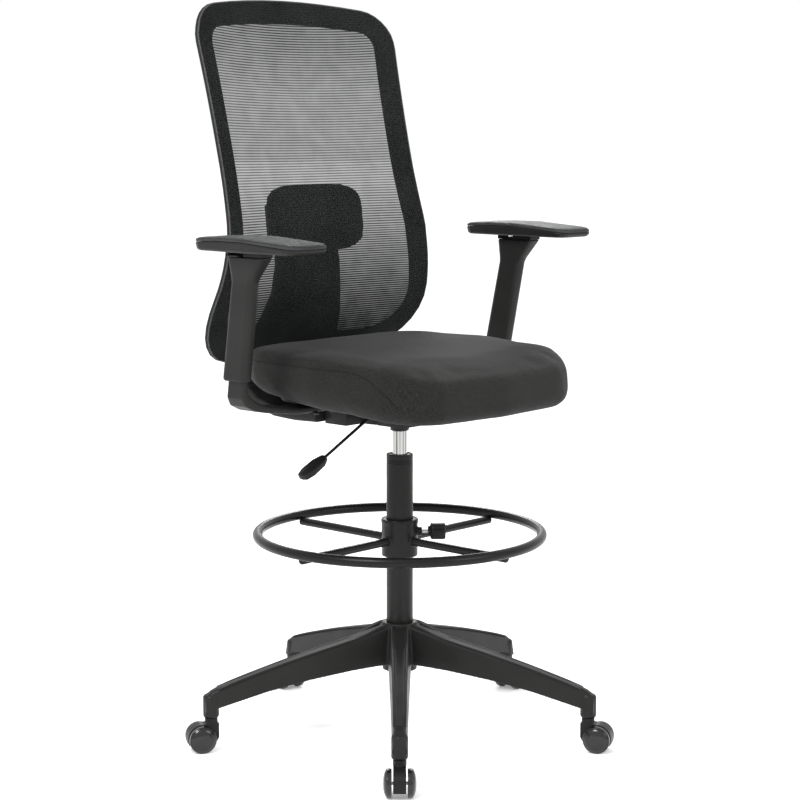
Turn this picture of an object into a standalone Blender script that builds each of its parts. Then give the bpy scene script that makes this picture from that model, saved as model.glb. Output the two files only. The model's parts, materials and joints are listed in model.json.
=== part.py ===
"""Drafting chair, in metres, +Z up. The sitter faces -Y and +X is the sitter's left.

The origin is on the floor under the gas column. The chair stands as it is used: casters trailing outwards,
gas lift near the bottom of its stroke and the armrests at their lowest.
"""

import math

import bmesh
import bpy
from mathutils import Matrix, Vector

GAP = 0.0003  # clearance between two pieces that rest on each other

# Base and casters
ARMS = 5
FIRST_ARM_ANGLE = math.radians(222.5)
ARM_REACH = 0.365  # column axis to caster stem
SOCKET_RADIUS = 0.0150
SOCKET_BOTTOM = 0.0623
HUB_RADIUS = 0.0325
HUB_TOP = 0.2157
HUB_BOTTOM = 0.1242
STEM_RADIUS = 0.0055
STEM_HOLE_RADIUS = 0.0060
STEM_TOP = 0.090
WHEEL_RADIUS = 0.0255
WHEEL_SIDES = 20
WHEEL_WIDTH = 0.0158
WHEEL_INNER_FACE = 0.0138  # caster's middle plane to a wheel's inner face
AXLE_TRAIL = 0.0198
AXLE_HEIGHT = WHEEL_RADIUS * math.cos(math.pi / WHEEL_SIDES)
AXLE_RADIUS = 0.003
WHEEL_BORE_DEPTH = 0.0082
CASTER_STEM_FOOT = 0.0546
FENDER_RADIUS = 0.0262

# Column and gas lift
COLUMN_RADIUS = 0.025
COLUMN_BORE = 0.0231
COLUMN_TOP = 0.5354
COLUMN_FOOT = 0.1222
COLUMN_FLOOR = 0.006  # thickness of the plate that closes the tube's foot
CYLINDER_RADIUS = 0.014
CYLINDER_BORE = 0.012
CYLINDER_FOOT = 0.234
CYLINDER_TOP = 0.6160
TAPER_START = 0.5799
ROD_RADIUS = 0.005
ROD_TOP = 0.434
BUSH_LENGTH = 0.100

# Foot ring
RING_RADIUS = 0.266
RING_TUBE = 0.0095
RING_STATIONS = 48
RING_HEIGHT = 0.3842
SPOKE_TUBE = 0.008
SPOKE_HEIGHT = 0.3727
COLLAR_RADIUS = 0.034
COLLAR_BORE = 0.0308
COLLAR_TOP = 0.4132
COLLAR_BOTTOM = 0.3422
CLAMP_HEIGHT = 0.3877
CLAMP_ANGLE = math.radians(-45)
KNOB_RADIUS = 0.0165
KNOB_START = 0.053
KNOB_LENGTH = 0.033

# Seat and mechanism
PLATE_TOP = 0.6397
PLATE_DEPTH = 0.0435  # height of its flanges
PLATE_THICKNESS = 0.003
SOCKET_FOOT = 0.5799
PAN_BOTTOM = 0.6402
PAN_THICKNESS = 0.0075
SEAT_FRONT = -0.268
SEAT_REAR = 0.232
SEAT_HALF_WIDTH = 0.260
SEAT_TOP = 0.7402
SEAT_BOTTOM = 0.6487
SEAT_EDGE = 0.6425  # lower edge of the cushion beside the column
LEVER_PIVOT = Vector((-0.045, 0.0, 0.6250))
LEVER_ROD_RADIUS = 0.003
LEVER_BEND = Vector((-0.056, 0.0, 0.6250))
LEVER_END = Vector((-0.2075, 0.0, 0.5475))
PIN_TOP = LEVER_PIVOT.z - LEVER_ROD_RADIUS - 0.0006
PADDLE_SLOPE = math.radians(27)

# Back
BACK_BOTTOM = 0.698
BACK_TOP = 1.377
WAIST = 1.094  # height where the back is narrowest
WAIST_HALF_WIDTH = 0.2553
LUMBAR_LOW = 0.914  # the sides lie furthest forwards between these two heights
LUMBAR_HIGH = 0.944
LUMBAR_DEPTH = 0.178
BACK_CURL = 1.95  # how sharply the sides turn back below the lumbar curve
BACK_RECLINE = 0.235  # slope of the back above the lumbar curve
BACK_WRAP = 0.032  # how far the middle lies behind the sides
BACK_ARCH = 0.022  # rise of the top edge in the middle
BOTTOM_CORNER = 0.130
TOP_CORNER = 0.068
FRAME_BAND = 0.045
FRAME_DEPTH = 0.010
MESH_THICKNESS = 0.0016
STEM_LEAN = 0.12  # backward slope of the support's upright, which the lumbar pad slides on
LUG_X = 0.070
LUG_HEIGHT = 0.722
LUG_LENGTH = 0.020
LUG_CLEARANCE = 0.0015
STEM_FOOT = Vector((0.0, 0.2397, 0.8792))
STEM_HEIGHT = 0.130
PAD_CENTRE = Vector((0.0, 0.2263, 0.9662))

# Arms
POST_X = 0.3549  # post axis at POST_LEVEL
POST_Y = 0.0590
POST_LEVEL = 0.694
LEAN_FORWARD = 0.1620
LEAN_OUTWARD = 0.0396
SLEEVE_BOTTOM = 0.699
SLEEVE_KINK = 0.880
SLEEVE_TOP = 0.9185
POST_TOP = 0.868
PAD_X = 0.365
PAD_REAR = 0.1225
PAD_FRONT = -0.132
PAD_HALF_WIDTH = 0.0475
PAD_TOP = 0.9541
PAD_CROWN = 0.0100  # fall of the top towards the front end
PAD_SPLIT = 0.9466
PAD_BOTTOM = 0.9280


def clear_scene():
    for obj in list(bpy.data.objects):
        bpy.data.objects.remove(obj)


def new_collection(name):
    collection = bpy.data.collections.new(name)
    bpy.context.scene.collection.children.link(collection)
    return collection


def material(name, colour, roughness, metallic=0.0):
    found = bpy.data.materials.get(name)
    if found:
        return found
    made = bpy.data.materials.new(name)
    made.use_nodes = True
    shader = made.node_tree.nodes["Principled BSDF"]
    shader.inputs["Base Color"].default_value = (*colour, 1.0)
    shader.inputs["Roughness"].default_value = roughness
    shader.inputs["Metallic"].default_value = metallic
    return made


def black_nylon():
    return material("black_nylon", (0.022, 0.022, 0.021), 0.45)


def black_steel():
    return material("black_powder_coat", (0.020, 0.020, 0.019), 0.38)


def chrome():
    return material("chrome", (0.80, 0.80, 0.80), 0.10, 1.0)


def zinc():
    return material("zinc_steel", (0.55, 0.55, 0.54), 0.35, 1.0)


def acetal():
    return material("white_acetal", (0.75, 0.75, 0.72), 0.40)


def wheel_plastic():
    return material("gloss_wheel_nylon", (0.012, 0.012, 0.012), 0.18)


def seat_fabric():
    return material("charcoal_fabric", (0.040, 0.040, 0.038), 0.95)


def mesh_fabric():
    return material("black_mesh", (0.035, 0.035, 0.035), 0.85)


def pad_skin():
    return material("soft_pad_skin", (0.045, 0.045, 0.045), 0.50)


def birch_board():
    return material("birch_plywood", (0.035, 0.033, 0.030), 0.70)


def place(obj, location=(0, 0, 0), rotation=(0, 0, 0), parent=None):
    obj.location = location
    obj.rotation_euler = rotation
    obj.parent = parent
    return obj


def pivot(name, location, rotation=(0, 0, 0), parent=None):
    """An empty on a joint's axis, which carries the pieces that move about it."""
    empty = bpy.data.objects.new(name, None)
    empty.empty_display_size = 0.03
    PARTS.objects.link(empty)
    return place(empty, location, rotation, parent)


def object_from(bm, name, look, collection=None):
    bmesh.ops.recalc_face_normals(bm, faces=bm.faces)
    mesh = bpy.data.meshes.new(name)
    bm.to_mesh(mesh)
    bm.free()
    obj = bpy.data.objects.new(name, mesh)
    if look:
        mesh.materials.append(look)
    mesh.shade_smooth()
    mesh.set_sharp_from_angle(angle=math.radians(35))
    (collection or PARTS).objects.link(obj)
    return obj


def as_cutter(obj):
    obj.hide_render = True
    obj.display_type = "WIRE"
    return obj


def combine(obj, other, operation):
    step = obj.modifiers.new(operation.lower(), "BOOLEAN")
    step.operation = operation
    step.object = other
    return obj


def bevelled(obj, width, segments=2, angle=40):
    step = obj.modifiers.new("bevel", "BEVEL")
    step.width = width
    step.segments = segments
    step.limit_method = "ANGLE"
    step.angle_limit = math.radians(angle)
    return obj


def box(name, size, look, collection=None):
    bm = bmesh.new()
    bmesh.ops.create_cube(bm, size=1.0, matrix=Matrix.Diagonal((*size, 1.0)))
    return object_from(bm, name, look, collection)


def rod(name, radius, length, look, sides=16, collection=None):
    """A cylinder along local Z with its middle at the object's origin."""
    bm = bmesh.new()
    bmesh.ops.create_cone(bm, cap_ends=True, segments=sides, radius1=radius, radius2=radius, depth=length)
    return object_from(bm, name, look, collection)


def turned(name, profile, look, steps=24, closed=False, collection=None):
    """A lathe shape about local Z: the profile's (radius, height) points run down the outer side."""
    bm = bmesh.new()
    points = [bm.verts.new((radius, 0.0, height)) for radius, height in profile]
    for start, end in zip(points, points[1:]):
        bm.edges.new((start, end))
    if closed:
        bm.edges.new((points[-1], points[0]))
    mesh = bpy.data.meshes.new(name)
    bm.to_mesh(mesh)
    bm.free()
    obj = bpy.data.objects.new(name, mesh)
    if look:
        mesh.materials.append(look)
    (collection or PARTS).objects.link(obj)
    screw = obj.modifiers.new("turn", "SCREW")
    screw.axis = "Z"
    screw.steps = steps
    screw.render_steps = steps
    screw.use_merge_vertices = True
    screw.merge_threshold = 0.00002
    screw.use_smooth_shade = True
    return obj


def loft(name, rings, look, closed=False, collection=None):
    """A skin through rings of equal point counts, capped at both ends unless it closes on itself."""
    bm = bmesh.new()
    rows = [[bm.verts.new(point) for point in ring] for ring in rings]
    count = len(rows[0])
    pairs = list(zip(rows, rows[1:]))
    if closed:
        pairs.append((rows[-1], rows[0]))
    for low, high in pairs:
        for i in range(count):
            j = (i + 1) % count
            bm.faces.new((low[i], low[j], high[j], high[i]))
    if not closed:
        bm.faces.new(rows[0])
        bm.faces.new(rows[-1])
    return object_from(bm, name, look, collection)


def outline_solid(name, points, thickness, look, collection=None):
    """A flat outline in local XY, as a filled 2D curve extruded to a thickness centred on the plane."""
    curve = bpy.data.curves.new(name, "CURVE")
    curve.dimensions = "2D"
    curve.fill_mode = "BOTH"
    curve.extrude = thickness / 2
    spline = curve.splines.new("POLY")
    spline.points.add(len(points) - 1)
    for place_at, (x, y) in zip(spline.points, points):
        place_at.co = (x, y, 0.0, 1.0)
    spline.use_cyclic_u = True
    obj = bpy.data.objects.new(name, curve)
    if look:
        curve.materials.append(look)
    (collection or PARTS).objects.link(obj)
    return obj


def wire(name, points, radius, look, resolution=2, cyclic=False, collection=None):
    curve = bpy.data.curves.new(name, "CURVE")
    curve.dimensions = "3D"
    curve.bevel_depth = radius
    curve.bevel_resolution = resolution
    curve.use_fill_caps = True
    spline = curve.splines.new("POLY")
    spline.points.add(len(points) - 1)
    for place_at, point in zip(spline.points, points):
        place_at.co = (*point, 1.0)
    spline.use_cyclic_u = cyclic
    obj = bpy.data.objects.new(name, curve)
    if look:
        curve.materials.append(look)
    (collection or PARTS).objects.link(obj)
    return obj


def to_mesh(obj):
    """The curve's evaluated mesh as an object in the same place, with its loose caps welded."""
    bpy.context.view_layer.update()
    graph = bpy.context.evaluated_depsgraph_get()
    mesh = bpy.data.meshes.new_from_object(obj.evaluated_get(graph))
    bm = bmesh.new()
    bm.from_mesh(mesh)
    bmesh.ops.remove_doubles(bm, verts=bm.verts, dist=0.00002)
    bm.to_mesh(mesh)
    bm.free()
    name = obj.name
    world = obj.matrix_world.copy()
    homes = list(obj.users_collection)
    bpy.data.objects.remove(obj)
    made = bpy.data.objects.new(name, mesh)
    made.matrix_world = world
    for home in homes:
        home.objects.link(made)
    return made


def arc(centre, radius, start, end, count):
    """Points on an arc, from one angle in degrees to the other, both ends included."""
    points = []
    for i in range(count):
        angle = math.radians(start + (end - start) * i / (count - 1))
        points.append((centre[0] + radius * math.cos(angle), centre[1] + radius * math.sin(angle)))
    return points


def rounded_rectangle(half_x, half_y, radius, per_corner=3):
    points = []
    corners = ((1, 1, 0), (-1, 1, 90), (-1, -1, 180), (1, -1, 270))
    for sx, sy, start in corners:
        centre = (sx * (half_x - radius), sy * (half_y - radius))
        points += arc(centre, radius, start, start + 90, per_corner)
    return points


def blend(start, end, share):
    return start + (end - start) * share


def smoothstep(share):
    share = min(1.0, max(0.0, share))
    return share * share * (3 - 2 * share)


# ---------------------------------------------------------------- base and casters


def arm_top(reach):
    """Height of a base arm's ridge at a distance from the column axis."""
    bow = 0.2092 - 0.19 * reach - 0.20 * reach * reach
    root = 0.010 * smoothstep((0.09 - reach) / 0.06)
    nose = min(1.0, max(0.0, (reach - 0.352) / 0.026))
    return bow + root - 0.014 * (1 - math.sqrt(1 - nose * nose))


def arm_underside(reach):
    return 0.1397 - 0.045 * reach - 0.35 * reach * reach


def arm_half_width(reach):
    return blend(0.0230, 0.0142, min(1.0, reach / 0.32))


def arm_section(reach, angle, inset=0.0, foot=None):
    """One cross-section of a base arm: a trapezium with a chamfered ridge."""
    half = arm_half_width(reach) - inset
    ridge = half * 0.80
    chamfer = 0.005
    top = arm_top(reach) - inset
    bottom = arm_underside(reach) if foot is None else foot
    outline = (
        (-half, bottom),
        (-ridge, top - chamfer),
        (-ridge + chamfer, top),
        (ridge - chamfer, top),
        (ridge, top - chamfer),
        (half, bottom),
    )
    turn = Matrix.Rotation(angle, 4, "Z")
    return [turn @ Vector((reach, across, height)) for across, height in outline]


def base_arm(index, angle):
    """A solid arm, from inside the hub to past its caster socket."""
    reaches = (0.020, 0.060, 0.100, 0.180, 0.260, 0.352, 0.364, 0.372, ARM_REACH + 0.0122)
    rings = [arm_section(reach, angle) for reach in reaches]
    return as_cutter(loft(f"arm_{index}", rings, None, collection=CUTTERS))


def socket_boss(index, angle):
    top = arm_top(ARM_REACH) - 0.006
    profile = ((0, top), (SOCKET_RADIUS - 0.003, top), (SOCKET_RADIUS, top - 0.004))
    profile += ((SOCKET_RADIUS, SOCKET_BOTTOM + 0.003), (SOCKET_RADIUS - 0.0018, SOCKET_BOTTOM), (0, SOCKET_BOTTOM))
    boss = turned(f"socket_boss_{index}", profile, None, steps=16, collection=CUTTERS)
    place(boss, (ARM_REACH * math.cos(angle), ARM_REACH * math.sin(angle), 0))
    return as_cutter(boss)


def arm_hollow(index, angle):
    """The open channel along an arm's underside."""
    wall = 0.0042
    rings = [arm_section(reach, angle, wall, foot=0.05) for reach in (0.046, 0.120, 0.260, 0.340)]
    return as_cutter(loft(f"arm_hollow_{index}", rings, None, collection=CUTTERS))


def base_star():
    """The moulded base: hub, five arms that are channels below, and five caster sockets."""
    profile = (
        (COLUMN_RADIUS + 0.0004, HUB_TOP),
        (HUB_RADIUS - 0.002, HUB_TOP),
        (HUB_RADIUS, HUB_TOP - 0.004),
        (HUB_RADIUS, HUB_BOTTOM),
        (COLUMN_RADIUS + 0.0004, HUB_BOTTOM),
    )
    hub = turned("base_star", profile, black_nylon(), steps=32, closed=True)
    bore = rod("hub_bore", COLUMN_RADIUS + 0.0004, 0.3, None, sides=32, collection=CUTTERS)
    place(as_cutter(bore), (0, 0, 0.2))
    for index in range(ARMS):
        angle = FIRST_ARM_ANGLE + index * math.tau / ARMS
        combine(hub, base_arm(index, angle), "UNION")
        combine(hub, socket_boss(index, angle), "UNION")
    combine(hub, bore, "DIFFERENCE")
    for index in range(ARMS):
        angle = FIRST_ARM_ANGLE + index * math.tau / ARMS
        combine(hub, arm_hollow(index, angle), "DIFFERENCE")
        hole = rod(f"stem_hole_{index}", STEM_HOLE_RADIUS, 0.08, None, sides=12, collection=CUTTERS)
        reach = Vector((ARM_REACH * math.cos(angle), ARM_REACH * math.sin(angle)))
        place(as_cutter(hole), (reach.x, reach.y, STEM_TOP + 0.001 - 0.04))
        combine(hub, hole, "DIFFERENCE")
    return hub


def caster_housing(name, swivel):
    """The body between the wheels: a round neck over a web with a fender round the top of the wheels."""
    hub = (AXLE_TRAIL, AXLE_HEIGHT)
    web = [(-0.0125, 0.0530), (-0.0125, 0.0260), (-0.0080, 0.0180)]
    web += arc(hub, 0.0140, 235, 310, 4)
    web += arc(hub, FENDER_RADIUS, -28, 100, 10)
    web += [(0.0105, 0.0530)]
    body = to_mesh(outline_solid(name, web, 0.0224, None))
    body.data.materials.append(black_nylon())
    body.data.shade_flat()
    place(body, (0, 0, 0), (math.radians(90), 0, 0), swivel)
    neck = ((0, 0.0619), (0.0110, 0.0619), (0.0120, 0.0609), (0.0120, 0.0510), (0, 0.0510))
    top = as_cutter(turned(f"{name}_neck", neck, None, steps=16, collection=CUTTERS))
    place(top, parent=swivel)
    combine(body, top, "UNION")
    hole = as_cutter(rod(f"{name}_axle_hole", AXLE_RADIUS + 0.0002, 0.06, None, 12, CUTTERS))
    place(hole, (AXLE_TRAIL, 0, AXLE_HEIGHT), (math.radians(90), 0, 0), swivel)
    combine(body, hole, "DIFFERENCE")
    well = as_cutter(rod(f"{name}_stem_well", STEM_RADIUS + 0.0003, 0.02, None, 12, CUTTERS))
    place(well, (0, 0, CASTER_STEM_FOOT - GAP + 0.01), parent=swivel)
    combine(body, well, "DIFFERENCE")
    return body


def caster_wheel(name, side, axle):
    """A wheel with a domed outer face and a blind bore; local Z points away from the housing."""
    inner = WHEEL_INNER_FACE
    outer = inner + WHEEL_WIDTH
    bore = AXLE_RADIUS + 0.0003
    profile = (
        (0, outer),
        (0.0140, outer - 0.0009),
        (0.0215, outer - 0.0032),
        (WHEEL_RADIUS, outer - 0.0060),
        (WHEEL_RADIUS, inner),
        (bore, inner),
        (bore, inner + WHEEL_BORE_DEPTH),
        (0, inner + WHEEL_BORE_DEPTH),
    )
    wheel = turned(name, profile, wheel_plastic(), steps=WHEEL_SIDES)
    # The turn puts a facet, not an edge, on the floor.
    half_facet = math.pi / WHEEL_SIDES
    return place(wheel, rotation=(math.radians(-90 * side), half_facet, 0), parent=axle)


def caster(index, angle):
    name = f"caster_{index + 1}"
    where = (ARM_REACH * math.cos(angle), ARM_REACH * math.sin(angle), 0)
    swivel = pivot(f"{name}_swivel_axis", where, (0, 0, angle))
    stem_length = STEM_TOP - CASTER_STEM_FOOT
    stem = rod(f"{name}_stem", STEM_RADIUS, stem_length, zinc(), sides=12)
    place(stem, (0, 0, CASTER_STEM_FOOT + stem_length / 2), parent=swivel)
    caster_housing(f"{name}_housing", swivel)
    axle_axis = pivot(f"{name}_axle_axis", (AXLE_TRAIL, 0, AXLE_HEIGHT), parent=swivel)
    axle_length = 2 * (WHEEL_INNER_FACE + WHEEL_BORE_DEPTH - 0.0004)
    axle = rod(f"{name}_axle", AXLE_RADIUS, axle_length, zinc(), sides=12)
    place(axle, rotation=(math.radians(90), 0, 0), parent=axle_axis)
    caster_wheel(f"{name}_wheel_left", 1, axle_axis)
    caster_wheel(f"{name}_wheel_right", -1, axle_axis)


# ---------------------------------------------------------------- column and gas lift


def column_tube():
    """Outer tube, closed at the foot by a plate that the gas lift's rod passes through."""
    hole = 0.0046
    profile = (
        (COLUMN_BORE, COLUMN_TOP),
        (COLUMN_RADIUS - 0.0008, COLUMN_TOP),
        (COLUMN_RADIUS, COLUMN_TOP - 0.0010),
        (COLUMN_RADIUS, COLUMN_FOOT + 0.004),
        (COLUMN_RADIUS - 0.002, COLUMN_FOOT),
        (hole, COLUMN_FOOT),
        (hole, COLUMN_FOOT + COLUMN_FLOOR),
        (COLUMN_BORE, COLUMN_FOOT + COLUMN_FLOOR),
    )
    return turned("column_tube", profile, black_steel(), steps=32, closed=True)


def column_guide_bush():
    bore = CYLINDER_RADIUS + 0.0004
    top = COLUMN_TOP - 0.0012
    profile = (
        (bore + 0.001, top),
        (COLUMN_BORE - GAP, top),
        (COLUMN_BORE - GAP, top - BUSH_LENGTH),
        (bore, top - BUSH_LENGTH),
        (bore, top - 0.001),
    )
    return turned("column_guide_bush", profile, acetal(), steps=32, closed=True)


def lift_rod():
    """Piston rod with its piston at the top and a thin end that goes through the column's floor."""
    shoulder = COLUMN_FOOT + COLUMN_FLOOR + 0.0066
    profile = (
        (0, ROD_TOP),
        (CYLINDER_BORE - 0.0004, ROD_TOP),
        (CYLINDER_BORE - 0.0004, ROD_TOP - 0.018),
        (ROD_RADIUS, ROD_TOP - 0.018),
        (ROD_RADIUS, shoulder),
        (0.0040, shoulder),
        (0.0040, COLUMN_FOOT - 0.009),
        (0, COLUMN_FOOT - 0.009),
    )
    return turned("lift_rod", profile, zinc(), steps=16)


def lift_thrust_bearing():
    low = COLUMN_FOOT + COLUMN_FLOOR + GAP
    profile = ((0.0045, low + 0.006), (0.012, low + 0.006), (0.012, low), (0.0045, low))
    return turned("lift_thrust_bearing", profile, zinc(), steps=20, closed=True)


def lift_retaining_clip():
    top = COLUMN_FOOT - GAP
    profile = ((0.0043, top), (0.0085, top), (0.0085, top - 0.0025), (0.0043, top - 0.0025))
    return turned("lift_retaining_clip", profile, zinc(), steps=16, closed=True)


def lift_cylinder():
    """Chromed cylinder, open below around the rod, with a taper that seats in the mechanism."""
    gland = ROD_RADIUS + 0.0004
    crown = CYLINDER_TOP - 0.062  # top of the inside
    pin_hole = 0.0028
    profile = (
        (pin_hole, CYLINDER_TOP),
        (0.0118, CYLINDER_TOP),
        (0.0130, TAPER_START + 0.001),
        (CYLINDER_RADIUS, TAPER_START - 0.002),
        (CYLINDER_RADIUS, CYLINDER_FOOT),
        (gland, CYLINDER_FOOT),
        (gland, CYLINDER_FOOT + 0.012),
        (CYLINDER_BORE, CYLINDER_FOOT + 0.012),
        (CYLINDER_BORE, crown),
        (pin_hole, crown),
    )
    return turned("lift_cylinder", profile, chrome(), steps=24, closed=True)


def lift_valve_pin(axis):
    """The pin that the lever presses; it stands out of the cylinder's top."""
    profile = ((0, PIN_TOP), (0.0024, PIN_TOP), (0.0024, PIN_TOP - 0.032), (0, PIN_TOP - 0.032))
    return place(turned("lift_valve_pin", profile, zinc(), steps=12), parent=axis)


# ---------------------------------------------------------------- foot ring


def ring_circle():
    """Points of the foot ring's centre line."""
    points = []
    for i in range(RING_STATIONS):
        angle = math.tau * i / RING_STATIONS
        points.append((RING_RADIUS * math.cos(angle), RING_RADIUS * math.sin(angle), 0))
    return points


def foot_ring_tube():
    ring = wire("foot_ring_tube", ring_circle(), RING_TUBE, black_steel(), cyclic=True)
    return place(ring, (0, 0, RING_HEIGHT))


def foot_ring_collar(axis):
    """Steel collar with four welded spokes, whose ends are coped to the ring."""
    profile = (
        (COLLAR_BORE, COLLAR_TOP),
        (COLLAR_RADIUS, COLLAR_TOP),
        (COLLAR_RADIUS + 0.0010, COLLAR_TOP - 0.002),
        (COLLAR_RADIUS + 0.0010, COLLAR_TOP - 0.008),
        (COLLAR_RADIUS, COLLAR_TOP - 0.010),
        (COLLAR_RADIUS, COLLAR_BOTTOM),
        (COLLAR_BORE, COLLAR_BOTTOM),
    )
    collar = turned("foot_ring_collar", profile, black_steel(), steps=32, closed=True)
    place(collar, parent=axis)
    start, end = COLLAR_BORE + 0.001, RING_RADIUS - 0.006
    for index in range(4):
        angle = index * math.pi / 2
        spoke = rod(f"spoke_{index}", SPOKE_TUBE, end - start, None, sides=12, collection=CUTTERS)
        middle = (start + end) / 2
        where = (middle * math.cos(angle), middle * math.sin(angle), SPOKE_HEIGHT)
        place(as_cutter(spoke), where, (0, math.radians(90), angle), axis)
        combine(collar, spoke, "UNION")
    boss = rod("clamp_boss", 0.0085, 0.010, None, sides=12, collection=CUTTERS)
    clamp_direction(as_cutter(boss), COLLAR_RADIUS + 0.003, axis)
    combine(collar, boss, "UNION")
    cope = wire("ring_cope", ring_circle(), RING_TUBE + GAP, None, cyclic=True, collection=CUTTERS)
    place(cope, (0, 0, RING_HEIGHT))
    combine(collar, as_cutter(to_mesh(cope)), "DIFFERENCE")
    hole = rod("clamp_hole", 0.0044, 0.030, None, sides=12, collection=CUTTERS)
    clamp_direction(as_cutter(hole), COLLAR_RADIUS, axis)
    combine(collar, hole, "DIFFERENCE")
    return collar


def clamp_direction(obj, reach, axis=None):
    """Puts a piece on the clamp's axis, its local Z pointing away from the column."""
    where = (reach * math.cos(CLAMP_ANGLE), reach * math.sin(CLAMP_ANGLE), CLAMP_HEIGHT)
    return place(obj, where, (0, math.radians(90), CLAMP_ANGLE), axis)


def foot_ring_bush(axis):
    """Plastic liner between the collar and the column."""
    bore = COLUMN_RADIUS + 0.0004
    outer = COLLAR_BORE - 0.0004
    high = COLLAR_TOP - 0.001
    low = COLLAR_BOTTOM + 0.001
    profile = ((bore, high), (outer, high), (outer, low), (bore, low))
    return place(turned("foot_ring_bush", profile, black_nylon(), steps=32, closed=True), parent=axis)


def clamp_stud(axis):
    inner = COLLAR_BORE + 0.0004
    outer = KNOB_START + 0.012
    stud = rod("clamp_stud", 0.0040, outer - inner, zinc(), sides=12)
    return place(stud, (0, 0, (inner + outer) / 2), parent=axis)


def clamp_knob(axis):
    """Knob with six shallow finger scallops and a blind bore over the stud."""
    lobes = 6
    per_lobe = 6
    rings = []
    stations = ((KNOB_START, 0.62), (KNOB_START + 0.004, 0.90), (KNOB_START + 0.009, 1.0))
    stations += ((KNOB_START + KNOB_LENGTH - 0.003, 1.0), (KNOB_START + KNOB_LENGTH, 0.88))
    for along, share in stations:
        ring = []
        for i in range(lobes * per_lobe):
            angle = math.tau * i / (lobes * per_lobe)
            radius = KNOB_RADIUS * share * (0.94 + 0.06 * math.cos(lobes * angle))
            ring.append((radius * math.cos(angle), radius * math.sin(angle), along))
        rings.append(ring)
    knob = place(loft("clamp_knob", rings, black_nylon()), parent=axis)
    bore = rod("knob_bore", 0.0043, 0.030, None, sides=12, collection=CUTTERS)
    place(as_cutter(bore), (0, 0, KNOB_START + 0.0123 - 0.015), parent=axis)
    return combine(knob, bore, "DIFFERENCE")


# ---------------------------------------------------------------- seat mechanism and lever


def mechanism_housing():
    """Pressed steel plate with flanges: narrow around the column socket and wide behind it."""
    height = PLATE_DEPTH
    foot = PLATE_TOP - height
    body = box("mechanism_housing", (0.224, 0.054, height), black_steel())
    place(body, (0, 0.057, foot + height / 2))
    nose = box("narrow_front", (0.136, 0.110, height), None, CUTTERS)
    place(as_cutter(nose), (0, -0.015, foot + height / 2))
    combine(body, nose, "UNION")
    wall = PLATE_THICKNESS
    narrow = box("hollow_front", (0.136 - 2 * wall, 0.130, 0.1), None, CUTTERS)
    place(as_cutter(narrow), (0, -0.002, PLATE_TOP - wall - 0.05))
    combine(body, narrow, "DIFFERENCE")
    wide = box("hollow_rear", (0.224 - 2 * wall, 0.054 - 2 * wall, 0.1), None, CUTTERS)
    place(as_cutter(wide), (0, 0.057, PLATE_TOP - wall - 0.05))
    combine(body, wide, "DIFFERENCE")
    cup = (
        (0.0136, PLATE_TOP - 0.0215),
        (0.0190, PLATE_TOP - 0.0215),
        (0.0175, SOCKET_FOOT),
        (0.0144, SOCKET_FOOT),
    )
    socket = turned("taper_socket", cup, None, steps=24, closed=True, collection=CUTTERS)
    combine(body, as_cutter(socket), "UNION")
    web = box("socket_web", (0.006, 0.064, 0.030), None, CUTTERS)
    place(as_cutter(web), (0, 0.050, PLATE_TOP - 0.0175))
    combine(body, web, "UNION")
    web_front = box("socket_web_front", (0.006, 0.050, 0.030), None, CUTTERS)
    place(as_cutter(web_front), (0, -0.0435, PLATE_TOP - 0.0175))
    combine(body, web_front, "UNION")
    notch = box("lever_notch", (0.020, 0.012, 0.050), None, CUTTERS)
    place(as_cutter(notch), (-0.068, 0, LEVER_PIVOT.z - 0.0225))
    combine(body, notch, "DIFFERENCE")
    for side in (-1, 1):
        ear = box(f"pivot_ear_{side}", (0.014, 0.003, 0.024), None, CUTTERS)
        place(as_cutter(ear), (LEVER_PIVOT.x, side * 0.0085, LEVER_PIVOT.z + 0.0015))
        combine(body, ear, "UNION")
    pin_hole = rod("pivot_hole", 0.0022, 0.030, None, 12, CUTTERS)
    place(as_cutter(pin_hole), LEVER_PIVOT, (math.radians(90), 0, 0))
    return combine(body, pin_hole, "DIFFERENCE")


def lever_pivot_pin():
    pin = rod("lever_pivot_pin", 0.0019, 0.022, zinc(), sides=12)
    return place(pin, LEVER_PIVOT, (math.radians(90), 0, 0))


def lever_rod(axis):
    """Bent rod with a barrel on the pivot pin; its inner end lies over the valve pin."""
    down = (LEVER_END - LEVER_BEND).normalized()
    points = [Vector((0.004, 0, LEVER_PIVOT.z)), LEVER_PIVOT.copy(), LEVER_BEND]
    points += [LEVER_BEND + down * 0.012, LEVER_END]
    local = [point - LEVER_PIVOT for point in points]
    rod_body = to_mesh(wire("lever_rod", local, LEVER_ROD_RADIUS, black_steel()))
    place(rod_body, parent=axis)
    barrel = rod("lever_barrel", 0.0046, 0.0130, None, 16, CUTTERS)
    place(as_cutter(barrel), rotation=(math.radians(90), 0, 0), parent=axis)
    combine(rod_body, barrel, "UNION")
    bore = rod("lever_bore", 0.0022, 0.030, None, 12, CUTTERS)
    place(as_cutter(bore), rotation=(math.radians(90), 0, 0), parent=axis)
    return combine(rod_body, bore, "DIFFERENCE")


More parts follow.
